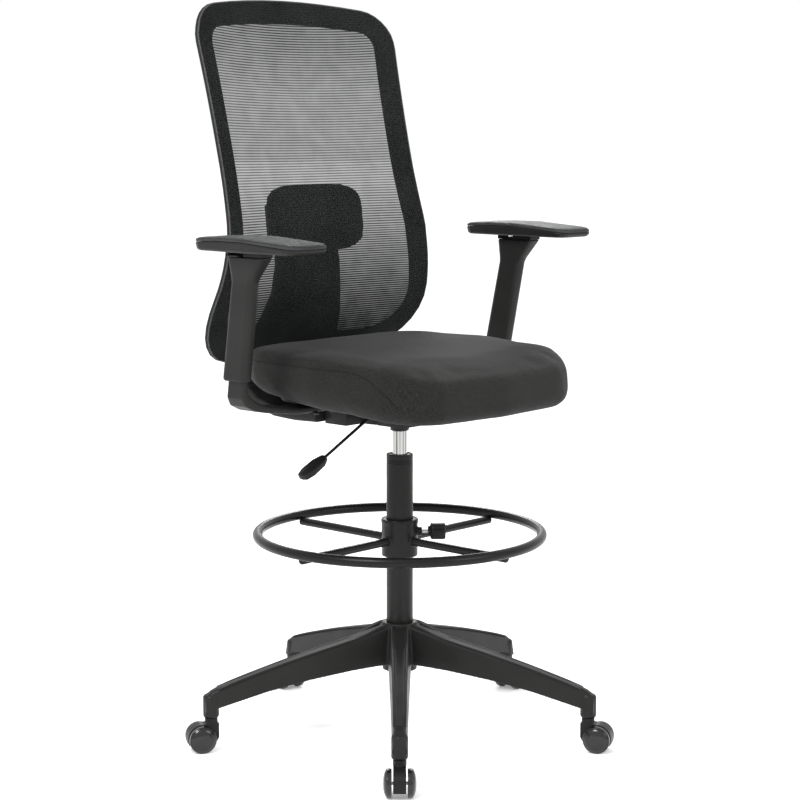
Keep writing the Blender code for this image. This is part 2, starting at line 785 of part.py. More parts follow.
def lever_paddle(axis):
    """Finger paddle on the rod's end, broad outside and narrowing to the rod."""
    outline = [(0.010, -0.006), (0.010, 0.006), (-0.006, 0.0135), (-0.040, 0.0150)]
    outline += [(-0.054, 0.0105), (-0.056, 0.0), (-0.054, -0.0105), (-0.040, -0.0150), (-0.006, -0.0135)]
    paddle = to_mesh(outline_solid("lever_paddle", outline, 0.0110, None))
    paddle.data.materials.append(black_nylon())
    place(paddle, LEVER_END - LEVER_PIVOT, (0, -PADDLE_SLOPE, 0), axis)
    bevelled(paddle, 0.0020, 2)
    bore = rod("paddle_bore", LEVER_ROD_RADIUS + 0.0004, 0.060, None, 12, CUTTERS)
    place(as_cutter(bore), (0.0287, 0, 0), (0, math.radians(90), 0), paddle)
    return combine(paddle, bore, "DIFFERENCE")


# ---------------------------------------------------------------- seat


def seat_pan():
    """Board that the cushion is upholstered on."""
    outline = rounded_rectangle(0.187, 0.167, 0.090, 5)
    board = to_mesh(outline_solid("seat_pan", outline, PAN_THICKNESS, None))
    board.data.materials.append(birch_board())
    board.data.shade_flat()
    return place(board, (0, 0.0100, PAN_BOTTOM + PAN_THICKNESS / 2))


def seat_surface_height(y):
    """Height of the cushion's top: level behind, rolling over at the front."""
    return SEAT_TOP - 0.034 * smoothstep((-0.12 - y) / 0.16) - 0.006 * smoothstep((y - 0.15) / 0.08)


def seat_edge_height(y):
    """Height of the cushion's lower edge, which falls towards the front."""
    return SEAT_EDGE + 0.075 * y + 0.45 * max(0.0, y - 0.05) ** 2


def seat_cushion():
    """Upholstered seat with a waterfall front: a cage of rings with rounded plan corners."""
    bm = bmesh.new()
    bmesh.ops.create_cube(bm, size=2.0)
    bmesh.ops.subdivide_edges(bm, edges=bm.edges, cuts=5, use_grid_fill=True)
    middle = (SEAT_FRONT + SEAT_REAR) / 2
    half_depth = (SEAT_REAR - SEAT_FRONT) / 2
    for vert in bm.verts:
        # The cage's rings crowd towards the rim, which leaves a flat place for the board below.
        x, y = (math.copysign(abs(value) ** 0.36, value) for value in vert.co.xy)
        z = vert.co.z
        corner = (abs(x) ** 4 + abs(y) ** 4) ** 0.25
        square = max(abs(x), abs(y))
        plan = square / corner if corner else 1.0
        rim = 1.0 - (0.035 if z > 0 else 0.085) * abs(z) ** 4
        px = x * plan * rim * SEAT_HALF_WIDTH
        py = middle + y * plan * rim * half_depth
        px *= 1.0 - 0.06 * smoothstep((py - 0.02) / 0.25)
        low = seat_edge_height(py) if square > 0.99 else SEAT_BOTTOM
        high = seat_surface_height(py) - (0.003 if square > 0.99 and z > 0 else 0.0)
        vert.co = (px, py, blend(low, high, (z + 1) / 2))
    return object_from(bm, "seat_cushion", seat_fabric())


# ---------------------------------------------------------------- back


def side_depth(z):
    """How far behind the column axis the back's sides lie at a height: an S in side view."""
    drop = max(0.0, LUMBAR_LOW - z)
    rise = max(0.0, z - LUMBAR_HIGH)
    ease = 0.008
    return LUMBAR_DEPTH + BACK_CURL * drop * drop + BACK_RECLINE * (rise - ease * (1 - math.exp(-rise / ease)))


def back_half_width(z):
    growth = 0.42 if z < WAIST else 0.138
    return WAIST_HALF_WIDTH + growth * (WAIST - z) ** 2


def back_outline(inset):
    """Points (x, z) around the back, drawn in from its edge: a waist, an arched top and round corners."""
    half = WAIST_HALF_WIDTH - inset
    low = BOTTOM_CORNER - inset
    high = TOP_CORNER - 0.8 * inset
    foot, head = BACK_BOTTOM + inset, BACK_TOP - inset
    right = [((half - low) * share, foot) for share in (0.0, 0.5)]
    right += arc((half - low, foot + low), low, 270, 360, 7)
    sides = 9
    for i in range(1, sides):
        right.append((half, blend(foot + low, head - high, i / sides)))
    right += arc((half - high, head - high), high, 0, 90, 6)
    right += [((half - high) * share, head) for share in (0.5, 0.0)]
    left = [(-x, z) for x, z in reversed(right[1:-1])]
    points = []
    for x, z in right + left:
        share = (z - BACK_BOTTOM) / (BACK_TOP - BACK_BOTTOM)
        wide = x * (back_half_width(z) - inset) / half
        points.append((wide, z - BACK_ARCH * (x / WAIST_HALF_WIDTH) ** 2 * share**2))
    return points


def back_depth(x, z):
    """The back's surface: the S of its sides, with the middle further back."""
    wrap = blend(0.34, 1.0, smoothstep((z - 0.714) / 0.2)) * BACK_WRAP
    return side_depth(z) + wrap * (1 - min(1.0, (x / WAIST_HALF_WIDTH) ** 2))


def back_frame():
    """Moulded rim behind the mesh: a flat band that follows the back's S."""
    half = FRAME_DEPTH / 2
    insets = ((0.0015, -half), (0.0, 0.0), (0.0015, half), (FRAME_BAND - 0.003, half))
    insets += ((FRAME_BAND, 0.0), (FRAME_BAND - 0.003, -half))
    loops = [back_outline(inset) for inset, _ in insets]
    rings = []
    for i in range(len(loops[0])):
        ring = []
        for loop, (_, depth) in zip(loops, insets):
            x, z = loop[i]
            ring.append((x, back_depth(x, z) + depth, z))
        rings.append(ring)
    return loft("back_frame", rings, black_nylon(), closed=True)


def back_mesh():
    """The stretched mesh, a thin sheet over the front of the rim, out to its edge."""
    inner = back_outline(FRAME_BAND - 0.003)
    outer = back_outline(0.0015)
    count = len(inner)
    middle = (BACK_TOP + BACK_BOTTOM) / 2
    near = -(FRAME_DEPTH / 2 + GAP)
    bm = bmesh.new()
    sheets = []
    for offset in (near - MESH_THICKNESS, near):
        rows = []
        for share in (0.35, 0.70, 1.0):
            rows.append([(x * share, blend(middle, z, share)) for x, z in inner])
        rows.append(outer)
        made = []
        for row in rows:
            made.append([bm.verts.new((x, back_depth(x, z) + offset, z)) for x, z in row])
        hub = bm.verts.new((0, back_depth(0, middle) + offset, middle))
        for i in range(count):
            j = (i + 1) % count
            bm.faces.new((hub, made[0][i], made[0][j]))
            for low, high in zip(made, made[1:]):
                bm.faces.new((low[i], high[i], high[j], low[j]))
        sheets.append(made[-1])
    for i in range(count):
        j = (i + 1) % count
        bm.faces.new((sheets[0][i], sheets[1][i], sheets[1][j], sheets[0][j]))
    return object_from(bm, "back_mesh", mesh_fabric())


def back_support():
    """Moulded J that runs back under the seat and up behind the mesh, narrowing as it rises."""
    upright = [(STEM_FOOT.y + STEM_LEAN * rise, STEM_FOOT.z + rise) for rise in (0.0, 0.064, STEM_HEIGHT)]
    path = (
        (0.0920, 0.6083, 0.130, 0.0200),
        (0.1500, 0.6063, 0.130, 0.0200),
        (0.2050, 0.6090, 0.129, 0.0200),
        (0.2550, 0.6210, 0.127, 0.0195),
        (0.2860, 0.6430, 0.124, 0.0190),
        (0.2985, 0.6710, 0.122, 0.0175),
        (0.2965, 0.7060, 0.120, 0.0165),
        (0.2790, 0.7410, 0.116, 0.0160),
        (0.2580, 0.7810, 0.104, 0.0150),
        (0.2440, 0.8260, 0.091, 0.0140),
        (*upright[0], 0.085, 0.0130),
        (*upright[1], 0.081, 0.0130),
        (*upright[2], 0.080, 0.0130),
    )
    rings = []
    for i, (y, z, half_width, thick) in enumerate(path):
        before = path[max(0, i - 1)]
        after = path[min(len(path) - 1, i + 1)]
        along = Vector((0, after[0] - before[0], after[1] - before[1])).normalized()
        normal = Vector((0, -along.z, along.y))
        ring = []
        for across, out in rounded_rectangle(half_width, thick / 2, 0.0045, 3):
            ring.append(Vector((across, y, z)) + normal * out)
        rings.append(ring)
    support = loft("back_support", rings, black_nylon())
    boss_foot = path[1][1] + 0.0045
    boss_height = PAN_BOTTOM - GAP - boss_foot
    boss = box("support_boss", (0.140, 0.070, boss_height), None, CUTTERS)
    place(as_cutter(boss), (0, 0.140, boss_foot + boss_height / 2))
    support = combine(support, boss, "UNION")
    for side in (-1, 1):
        support = combine(support, frame_lug(side), "UNION")
    return support


def frame_lug(side):
    """Round lug that the frame's lower band is screwed to, square to the band."""
    slope = 2 * BACK_CURL * (LUMBAR_LOW - LUG_HEIGHT)
    normal = Vector((0, 1, slope)).normalized()
    seat = Vector((side * LUG_X, back_depth(LUG_X, LUG_HEIGHT) + FRAME_DEPTH / 2, LUG_HEIGHT))
    lug = rod(f"frame_lug_{side}", 0.0090, LUG_LENGTH, None, sides=16, collection=CUTTERS)
    where = seat + normal * (LUG_CLEARANCE + LUG_LENGTH / 2)
    return place(as_cutter(lug), where, (-math.atan2(normal.y, normal.z), 0, 0))


def lumbar_pad(axis):
    """Soft pad behind the mesh, level with the small of the back."""
    bm = bmesh.new()
    bmesh.ops.create_cube(bm, size=2.0)
    bmesh.ops.subdivide_edges(bm, edges=bm.edges, cuts=5, use_grid_fill=True)
    for vert in bm.verts:
        x, y, z = vert.co
        square = max(abs(x), abs(z))
        corner = (abs(x) ** 4 + abs(z) ** 4) ** 0.25
        plan = square / corner if corner else 1.0
        thick = 0.0088 * (1 - 0.35 * square**4)
        px = x * plan * 0.126
        pz = z * plan * 0.0650
        vert.co = (px, y * thick - 0.010 * (px / 0.126) ** 2, pz)
    return place(object_from(bm, "lumbar_pad", pad_skin()), parent=axis)


def lumbar_carrier(axis):
    """Channel that holds the lumbar pad and slides on the back support's edges."""
    outline = [(-0.0900, 0.0095), (0.0900, 0.0095), (0.0900, 0.0355), (0.0720, 0.0355)]
    outline += [(0.0720, 0.0330), (0.0870, 0.0330), (0.0870, 0.0165), (-0.0870, 0.0165)]
    outline += [(-0.0870, 0.0330), (-0.0720, 0.0330), (-0.0720, 0.0355), (-0.0900, 0.0355)]
    carrier = to_mesh(outline_solid("lumbar_carrier", outline, 0.060, None))
    carrier.data.materials.append(black_nylon())
    carrier.data.shade_flat()
    return place(carrier, parent=axis)


# ---------------------------------------------------------------- arms


def post_centre(side, z):
    rise = z - POST_LEVEL
    return Vector((side * (POST_X + LEAN_OUTWARD * rise), POST_Y - LEAN_FORWARD * rise, z))


def arm_bracket(name, side):
    """L-shaped bracket with a thickened bend: level under the seat, then up inside the sleeve."""
    path = (
        (0.1145, 0.6328, 0, 0.0265, 0.0),
        (0.2220, 0.6336, 0, 0.0265, 0.0),
        (0.2960, 0.6433, 9, 0.0265, 0.0015),
        (0.3240, 0.6488, 14, 0.0260, 0.0045),
        (0.3450, 0.6582, 38, 0.0240, 0.0080),
        (0.3540, 0.6710, 66, 0.0215, 0.0060),
    )
    turn_end = SLEEVE_BOTTOM - 0.010
    rings = []
    for x, z, tilt, half_width, web in path:
        angle = math.radians(tilt)
        normal = Vector((-math.sin(angle) * side, 0, math.cos(angle)))
        y = post_centre(side, z).y
        ring = []
        for across, out in rounded_rectangle(half_width, 0.0060 + web / 2, 0.0030, 2):
            ring.append(Vector((side * x, y + across, z)) + normal * (out + web / 2))
        rings.append(ring)
    for z, shrink in ((turn_end, 0.0), (POST_TOP - 0.002, 0.0), (POST_TOP, 0.0015)):
        ring = []
        for across, out in rounded_rectangle(0.0205 - shrink, 0.0060 - shrink, 0.0030 - shrink / 2, 2):
            ring.append(post_centre(side, z) + Vector((-side * out, across, 0)))
        rings.append(ring)
    return loft(name, rings, black_nylon())


def sleeve_ring(side, z, half_x, front, rear, radius):
    """A level slice of the sleeve, which may reach further forwards than back."""
    half_y = (front + rear) / 2
    shift = (rear - front) / 2
    centre = post_centre(side, z)
    points = rounded_rectangle(half_x, half_y, radius, 3)
    return [centre + Vector((x, y + shift, 0)) for x, y in points]


def arm_sleeve(name, side, axis):
    """Height sleeve: a leaning tube that flares into a head under the armrest."""
    floor = SLEEVE_TOP - 0.018
    rings = [
        sleeve_ring(side, floor, 0.0068, 0.0213, 0.0213, 0.0033),
        sleeve_ring(side, SLEEVE_BOTTOM, 0.0068, 0.0213, 0.0213, 0.0033),
        sleeve_ring(side, SLEEVE_BOTTOM, 0.0112, 0.0250, 0.0280, 0.0080),
        sleeve_ring(side, SLEEVE_BOTTOM + 0.004, 0.0120, 0.0260, 0.0308, 0.0085),
        sleeve_ring(side, SLEEVE_KINK - 0.006, 0.0120, 0.0272, 0.0265, 0.0085),
        sleeve_ring(side, SLEEVE_KINK + 0.003, 0.0130, 0.0300, 0.0275, 0.0085),
        sleeve_ring(side, SLEEVE_TOP - 0.002, 0.0170, 0.0500, 0.0345, 0.0085),
        sleeve_ring(side, SLEEVE_TOP, 0.0165, 0.0495, 0.0340, 0.0080),
    ]
    sleeve = loft(name, rings, black_nylon())
    sleeve.data.transform(axis.matrix_world.inverted())
    return place(sleeve, parent=axis)


def armrest_outline(side, inset):
    """Plan of the armrest: a blunt front and a narrower rear, fuller on the sitter's side."""
    half = PAD_HALF_WIDTH - inset
    inner = half + 0.0030
    front = PAD_FRONT + inset
    rear = PAD_REAR - inset
    points = arc((-inner + 0.018, front + 0.018), 0.018, 180, 270, 4)
    points += arc((half - 0.018, front + 0.018), 0.018, 270, 360, 4)
    points += [(half, front + 0.120), (half - 0.005, rear - 0.060)]
    points += arc((half - 0.030, rear - 0.022), 0.022, 8, 90, 4)
    points += arc((-inner + 0.025, rear - 0.020), 0.020, 90, 172, 4)
    points += [(-inner + 0.002, rear - 0.060), (-inner, front + 0.120)]
    return [(side * (PAD_X + x), y) for x, y in points]


def armrest_solid(name, rings, material):
    """Solid through the rings, closed at each end by strips that run across the armrest."""
    bm = bmesh.new()
    made = [[bm.verts.new(point) for point in ring] for ring in rings]
    count = len(rings[0])
    for low, high in zip(made, made[1:]):
        for i in range(count):
            j = (i + 1) % count
            bm.faces.new((low[i], low[j], high[j], high[i]))
    for ring in (made[0], made[-1]):
        left = ring[3::-1] + ring[:13:-1]
        right = ring[4:14]
        for i in range(len(right) - 1):
            bm.faces.new((left[i], right[i], right[i + 1], left[i + 1]))
    return object_from(bm, name, material)


def armrest_crown(y):
    """How far the armrest's top drops at a place along its length."""
    return PAD_CROWN * ((y - 0.023) / 0.155) ** 2


def arm_pad_base(name, side, axis):
    """Rigid plate under the soft pad, with a neck that stands on the sleeve's head."""
    levels = ((PAD_BOTTOM, 0.0040, 0), (PAD_BOTTOM + 0.003, 0.0015, 0))
    levels += ((PAD_SPLIT - 0.003, 0.0, 1), (PAD_SPLIT - GAP, 0.0006, 1))
    rings = []
    for z, inset, crowned in levels:
        outline = armrest_outline(side, inset)
        rings.append([Vector((x, y, z - crowned * armrest_crown(y))) for x, y in outline])
    plate = armrest_solid(name, rings, black_nylon())
    plate.location = -axis.location
    plate.parent = axis
    neck_height = PAD_BOTTOM + 0.001 - (SLEEVE_TOP + GAP)
    for where, depth in ((-0.0270, 0.0450), (0.0320, 0.0040)):
        neck = box(f"{name}_neck", (0.030, depth, neck_height), None, CUTTERS)
        centre = post_centre(side, SLEEVE_TOP) + Vector((0, where, 0))
        place(as_cutter(neck), (centre.x, centre.y, SLEEVE_TOP + GAP + neck_height / 2))
        plate = combine(plate, neck, "UNION")
    return plate


def arm_pad(name, side, axis):
    """Soft top of the armrest, slightly crowned along its length."""
    rings = []
    for z, inset in (
        (PAD_SPLIT, 0.0006),
        (PAD_SPLIT + 0.002, 0.0),
        (PAD_TOP - 0.0030, 0.0008),
        (PAD_TOP - 0.0008, 0.0040),
        (PAD_TOP, 0.0120),
    ):
        rings.append([Vector((x, y, z - armrest_crown(y))) for x, y in armrest_outline(side, inset)])
    pad = armrest_solid(name, rings, pad_skin())
    pad.location = -axis.location
    pad.parent = axis
    return pad


def arm_trigger(name, side, axis):
    """Finger paddle behind the neck; squeezing it up frees the sleeve."""
    size = Vector((0.040, 0.030, 0.0032))
    paddle = box(name, size, black_nylon())
    bevelled(paddle, 0.0008, 1)
    return place(paddle, (side * size.x / 2, 0, 0), parent=axis)


def arm(label, side):
    arm_bracket(f"{label}_arm_bracket", side)
    foot = post_centre(side, SLEEVE_BOTTOM)
    carriage = pivot(f"{label}_arm_height_axis", foot)
    bpy.context.view_layer.update()
    arm_sleeve(f"{label}_arm_sleeve", side, carriage)
    arm_pad_base(f"{label}_arm_pad_base", side, carriage)
    arm_pad(f"{label}_arm_pad", side, carriage)
    hinge_at = post_centre(side, SLEEVE_TOP) + Vector((-side * 0.0150, 0.0140, 0.0024))
    hinge = pivot(f"{label}_arm_trigger_axis", hinge_at - foot, parent=carriage)
    arm_trigger(f"{label}_arm_trigger", side, hinge)


def build():
    base_star()
    for index in range(ARMS):
        caster(index, FIRST_ARM_ANGLE + index * math.tau / ARMS)
    column_tube()
    column_guide_bush()
    lift_rod()
    lift_thrust_bearing()
    lift_retaining_clip()
    lift_cylinder()
    lift_valve_pin(pivot("valve_pin_axis", (0, 0, 0)))
    ring_axis = pivot("foot_ring_axis", (0, 0, 0))
    place(foot_ring_tube(), (0, 0, RING_HEIGHT), parent=ring_axis)
    foot_ring_collar(ring_axis)
    foot_ring_bush(ring_axis)
    clamp_axis = clamp_direction(pivot("clamp_knob_axis", (0, 0, 0)), 0.0, ring_axis)
    clamp_stud(clamp_axis)
    clamp_knob(clamp_axis)
    mechanism_housing()
    lever_pivot_pin()
    lever_axis = pivot("lever_axis", LEVER_PIVOT)
    lever_rod(lever_axis)
    lever_paddle(lever_axis)
    seat_pan()
    seat_cushion()
    back_frame()
    back_mesh()
    back_support()
    lumbar_axis = pivot("lumbar_axis", PAD_CENTRE, (-math.atan(STEM_LEAN), 0, 0))
    lumbar_pad(lumbar_axis)
    lumbar_carrier(lumbar_axis)
    arm("left", 1)
    arm("right", -1)


clear_scene()
PARTS = new_collection("drafting_chair")
CUTTERS = new_collection("cutters")
build()
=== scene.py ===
"""Looks of the drafting chair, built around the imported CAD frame.

Metres, +Z up, and the sitter faces -Y.
"""

import json
import math

import bmesh
import bpy
from mathutils import Matrix, Vector

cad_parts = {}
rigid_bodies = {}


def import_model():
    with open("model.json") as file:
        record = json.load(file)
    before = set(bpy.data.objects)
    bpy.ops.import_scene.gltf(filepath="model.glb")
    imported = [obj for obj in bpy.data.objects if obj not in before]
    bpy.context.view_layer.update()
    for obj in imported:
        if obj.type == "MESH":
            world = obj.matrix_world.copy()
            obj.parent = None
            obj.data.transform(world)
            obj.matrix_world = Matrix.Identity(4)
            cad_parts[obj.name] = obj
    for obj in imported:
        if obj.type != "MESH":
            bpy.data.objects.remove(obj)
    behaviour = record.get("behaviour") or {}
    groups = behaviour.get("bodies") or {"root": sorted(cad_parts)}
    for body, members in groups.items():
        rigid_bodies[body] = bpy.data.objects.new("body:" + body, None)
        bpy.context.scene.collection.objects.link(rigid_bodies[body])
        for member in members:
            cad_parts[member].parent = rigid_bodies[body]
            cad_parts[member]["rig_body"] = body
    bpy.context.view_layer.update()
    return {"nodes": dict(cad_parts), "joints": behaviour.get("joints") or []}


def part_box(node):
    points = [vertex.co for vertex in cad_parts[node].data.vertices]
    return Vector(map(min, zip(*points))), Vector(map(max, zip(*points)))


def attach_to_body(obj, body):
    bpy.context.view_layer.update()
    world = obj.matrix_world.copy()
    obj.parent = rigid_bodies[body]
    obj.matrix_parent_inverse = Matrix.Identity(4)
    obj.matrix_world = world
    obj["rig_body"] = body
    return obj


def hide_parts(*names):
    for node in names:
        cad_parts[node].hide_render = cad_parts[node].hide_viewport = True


# Camera: horizontal distance from the column axis, height, yaw and downward pitch.
CAMERA_DISTANCE = 3.8069
CAMERA_HEIGHT = 1.1506
CAMERA_YAW = math.radians(47.5)
CAMERA_PITCH = math.radians(7.70)
CAMERA_LENS = 93.0

# Column, and the base's arms with the ridges on top of them.
COLUMN_RADIUS = 0.025
CYLINDER_RADIUS = 0.014
ARM_HEIGHT = 0.2092  # of an arm's top carried on to the axis, as the CAD has it
ARM_SLOPE = 0.19
ARM_CURL = 0.20
HUB_RISE = 0.010
RIDGE_START = 0.036
RIDGE_END = 0.352
RIDGE_FADE = 0.027  # length over which a ridge sinks into the arm's tip
RIDGE_HALF_WIDTH = 0.0036

# Ribbed mesh of the back.
RIB_PITCH = 0.0049
RIB_SAG = 0.54  # how much the ribs bow above SAG_START
SAG_START = 1.0
RIB_CLOSE = 0.12  # how much closer the ribs lie below CLOSE_START
CLOSE_START = 0.95
POST_PITCH = 0.0022  # of the fine uprights between the ribs
DENSE_ABOVE = 1.20  # the mesh closes up towards the head, and below DENSE_BELOW
DENSE_BELOW = 1.03

# Seat: its side seam, level from the rear and then down round the front corner.
SEAM_HEIGHT = 0.7182
SEAM_REAR = 0.185
SEAM_TURN = -0.090
SEAM_FRONT = -0.236
SEAM_DROP = 8.8
SEAM_POWER = 2.37
SEAM_LOWEST = 0.634
SEAM_NEAREST = 0.195  # the seam ends before it runs across the front
COVER_SHRINK = Vector((0.996, 0.998, 0.985))  # start size of the cover before it swells
SWELL_LIMIT = 0.003
SWELL_FRAMES = 20

# Mechanism and armrests.
PLATE_DEPTH = 0.0435
NOTCH_WALL = -0.0686  # outer face of the wall that the lever passes through
BEAD_HEIGHT = 0.9505  # in the middle of the armrest's length
BEAD_CROWN = 0.010
ARMREST_MIDDLE = 0.023
ARMREST_HALF_LENGTH = 0.155

# Back, as the CAD has it.
WAIST = 1.094
WAIST_HALF_WIDTH = 0.2553
FLARE_BELOW = 0.42
FLARE_ABOVE = 0.138
LUMBAR_LOW = 0.914
LUMBAR_HIGH = 0.944
LUMBAR_DEPTH = 0.178
BACK_CURL = 1.95
BACK_RECLINE = 0.235
BACK_WRAP = 0.032
WRAP_AT_FOOT = 0.34  # share of the wrap at FOOT_HEIGHT, which grows to 1 over WRAP_RISE
FOOT_HEIGHT = 0.714
WRAP_RISE = 0.2
BACK_ARCH = 0.022
BOTTOM_CORNER = 0.130
TOP_CORNER = 0.068
FRAME_BAND = 0.045
FRAME_DEPTH = 0.010


# ---------------------------------------------------------------- node helpers


def new_look(name, colour, roughness, metallic=0.0, specular=0.16):
    """A Principled material, with its tree and shader node, ready for detail."""
    look = bpy.data.materials.new(name)
    look.use_nodes = True
    shader = look.node_tree.nodes["Principled BSDF"]
    shader.inputs["Base Color"].default_value = (*colour, 1.0)
    shader.inputs["Roughness"].default_value = roughness
    shader.inputs["Metallic"].default_value = metallic
    shader.inputs["Specular IOR Level"].default_value = specular
    return look, look.node_tree, shader


def node(tree, kind, **inputs):
    made = tree.nodes.new(kind)
    for name, value in inputs.items():
        made.inputs[name.replace("_", " ")].default_value = value
    return made


def position(tree):
    """The point on the surface in the object's own space, in metres."""
    return tree.nodes.new("ShaderNodeTexCoord").outputs["Object"]


def noise(tree, scale, detail=4.0, roughness=0.55):
    made = node(tree, "ShaderNodeTexNoise", Scale=scale, Detail=detail, Roughness=roughness)
    tree.links.new(position(tree), made.inputs["Vector"])
    return made.outputs["Fac"]


def ramp(tree, source, stops):
    """Maps a 0-1 value through (place, colour) stops."""
    made = tree.nodes.new("ShaderNodeValToRGB")
    elements = made.color_ramp.elements
    while len(elements) < len(stops):
        elements.new(0.5)
    for element, (place, colour) in zip(elements, stops):
        element.position = place
        element.color = (*colour, 1.0)
    tree.links.new(source, made.inputs["Fac"])
    return made.outputs["Color"]


def spread(tree, source, low, high):
    """Maps 0.3-0.7, where most of a noise lies, to low-high."""
    made = node(tree, "ShaderNodeMapRange")
    for place, value in zip((1, 2, 3, 4), (0.3, 0.7, low, high)):
        made.inputs[place].default_value = value
    tree.links.new(source, made.inputs["Value"])
    return made.outputs["Result"]


def maths(tree, operation, a, b=None):
    made = tree.nodes.new("ShaderNodeMath")
    made.operation = operation
    for slot, value in zip(made.inputs, (a, b)):
        if isinstance(value, bpy.types.NodeSocket):
            tree.links.new(value, slot)
        elif value is not None:
            slot.default_value = value
    return made.outputs["Value"]


def plus(tree, a, b):
    return maths(tree, "ADD", a, b)


def minus(tree, a, b):
    return maths(tree, "SUBTRACT", a, b)


def times(tree, a, b):
    return maths(tree, "MULTIPLY", a, b)


def excess(tree, value, start):
    """How far a value lies above a start, and 0 below it. Either can be a number."""
    return maths(tree, "MAXIMUM", minus(tree, value, start), 0.0)


def axes(tree, vector):
    split = tree.nodes.new("ShaderNodeSeparateXYZ")
    tree.links.new(vector, split.inputs["Vector"])
    return list(split.outputs)


def bump(tree, shader, height, strength, distance):
    """Adds a bump over any that the shader has already."""
    made = node(tree, "ShaderNodeBump", Strength=strength, Distance=distance)
    tree.links.new(height, made.inputs["Height"])
    if shader.inputs["Normal"].links:
        tree.links.new(shader.inputs["Normal"].links[0].from_socket, made.inputs["Normal"])
    tree.links.new(made.outputs["Normal"], shader.inputs["Normal"])


def tinted(tree, shader, colour, scale, low, high):
    """Base colour that drifts softly between a darker and a lighter share of itself."""
    dark = tuple(channel * low for channel in colour)
    light = tuple(channel * high for channel in colour)
    shade = ramp(tree, noise(tree, scale), ((0.3, dark), (0.7, light)))
    tree.links.new(shade, shader.inputs["Base Color"])


# ---------------------------------------------------------------- materials


def moulded_plastic(name, colour, roughness, grain=0.25):
    """Spark-eroded moulding: fine grain, slow drift of gloss and faint handling marks."""
    look, tree, shader = new_look(name, colour, roughness)
    tinted(tree, shader, colour, 9.0, 0.85, 1.15)
    gloss = spread(tree, noise(tree, 22.0, 6.0), roughness - 0.06, roughness + 0.07)
    tree.links.new(gloss, shader.inputs["Roughness"])
    bump(tree, shader, noise(tree, 2200.0, 2.0), grain, 0.0002)
    bump(tree, shader, noise(tree, 420.0, 3.0), grain * 0.6, 0.0002)
    return look


def powder_coat(name, colour, roughness):
    """Powder coating on steel: orange peel under a low gloss."""
    look, tree, shader = new_look(name, colour, roughness)
    tinted(tree, shader, colour, 14.0, 0.9, 1.12)
    gloss = spread(tree, noise(tree, 40.0), roughness - 0.04, roughness + 0.06)
    tree.links.new(gloss, shader.inputs["Roughness"])
    bump(tree, shader, noise(tree, 700.0, 2.0, 0.4), 0.20, 0.0003)
    return look


def polished_metal(name, colour, roughness):
    """Plated metal with fine marks drawn along its length."""
    look, tree, shader = new_look(name, colour, roughness, 1.0)
    stretch = tree.nodes.new("ShaderNodeMapping")
    stretch.inputs["Scale"].default_value = (1.0, 1.0, 0.05)
    tree.links.new(position(tree), stretch.inputs["Vector"])
    marks = node(tree, "ShaderNodeTexNoise", Scale=900.0, Detail=3.0)
    tree.links.new(stretch.outputs["Vector"], marks.inputs["Vector"])
    gloss = spread(tree, marks.outputs["Fac"], roughness * 0.7, roughness * 1.4)
    tree.links.new(gloss, shader.inputs["Roughness"])
    tinted(tree, shader, colour, 30.0, 0.92, 1.04)
    return look


def chrome_painted_reflections(name):
    """Chrome on a round bar: bright, with the soft dark bands that a bar always mirrors painted
    into its colour as painted reflections.
    """
    look, tree, shader = new_look(name, (0.6, 0.6, 0.6), 0.12, 1.0)
    x, y, _ = axes(tree, position(tree))
    around = maths(tree, "ARCTAN2", y, x)
    fast = maths(tree, "SINE", times(tree, around, 14.0))
    slow = maths(tree, "SINE", times(tree, around, 5.0))
    # Painted reflection: dark and light bands round the bar's axis, put into the base colour.
    painted_reflection_bands = plus(tree, times(tree, fast, 0.30), times(tree, slow, 0.16))
    stops = ((0.12, (0.22, 0.22, 0.21)), (0.55, (0.62, 0.62, 0.61)))
    shade = ramp(tree, plus(tree, painted_reflection_bands, 0.5), stops)
    tree.links.new(shade, shader.inputs["Base Color"])
    gloss = spread(tree, noise(tree, 300.0), 0.08, 0.18)
    tree.links.new(gloss, shader.inputs["Roughness"])
    return look


def gloss_nylon(name, colour):
    """Polished nylon of the wheels: dark, with a bright and slightly uneven gloss."""
    look, tree, shader = new_look(name, colour, 0.16, 0.0, 0.45)
    tinted(tree, shader, colour, 30.0, 0.8, 1.3)
    gloss = spread(tree, noise(tree, 160.0, 6.0), 0.12, 0.24)
    tree.links.new(gloss, shader.inputs["Roughness"])
    bump(tree, shader, noise(tree, 260.0, 2.0), 0.06, 0.0004)
    return look


def weave_height(tree, pitch):
    """Height of crossed threads on faces of any direction: a gyroid of that pitch."""
    wander = node(tree, "ShaderNodeTexNoise", Scale=220.0, Detail=2.0)
    tree.links.new(position(tree), wander.inputs["Vector"])
    shifted = tree.nodes.new("ShaderNodeVectorMath")
    shifted.operation = "MULTIPLY_ADD"
    tree.links.new(wander.outputs["Color"], shifted.inputs[0])
    shifted.inputs[1].default_value = (0.004, 0.004, 0.004)
    tree.links.new(position(tree), shifted.inputs[2])
    point = axes(tree, shifted.outputs["Vector"])
    turns = [times(tree, axis, math.tau / pitch) for axis in point]
    terms = []
    for i in range(3):
        sine = maths(tree, "SINE", turns[i])
        cosine = maths(tree, "COSINE", turns[(i + 1) % 3])
        terms.append(times(tree, sine, cosine))
    total = plus(tree, plus(tree, terms[0], terms[1]), terms[2])
    return plus(tree, times(tree, total, 0.33), 0.5)


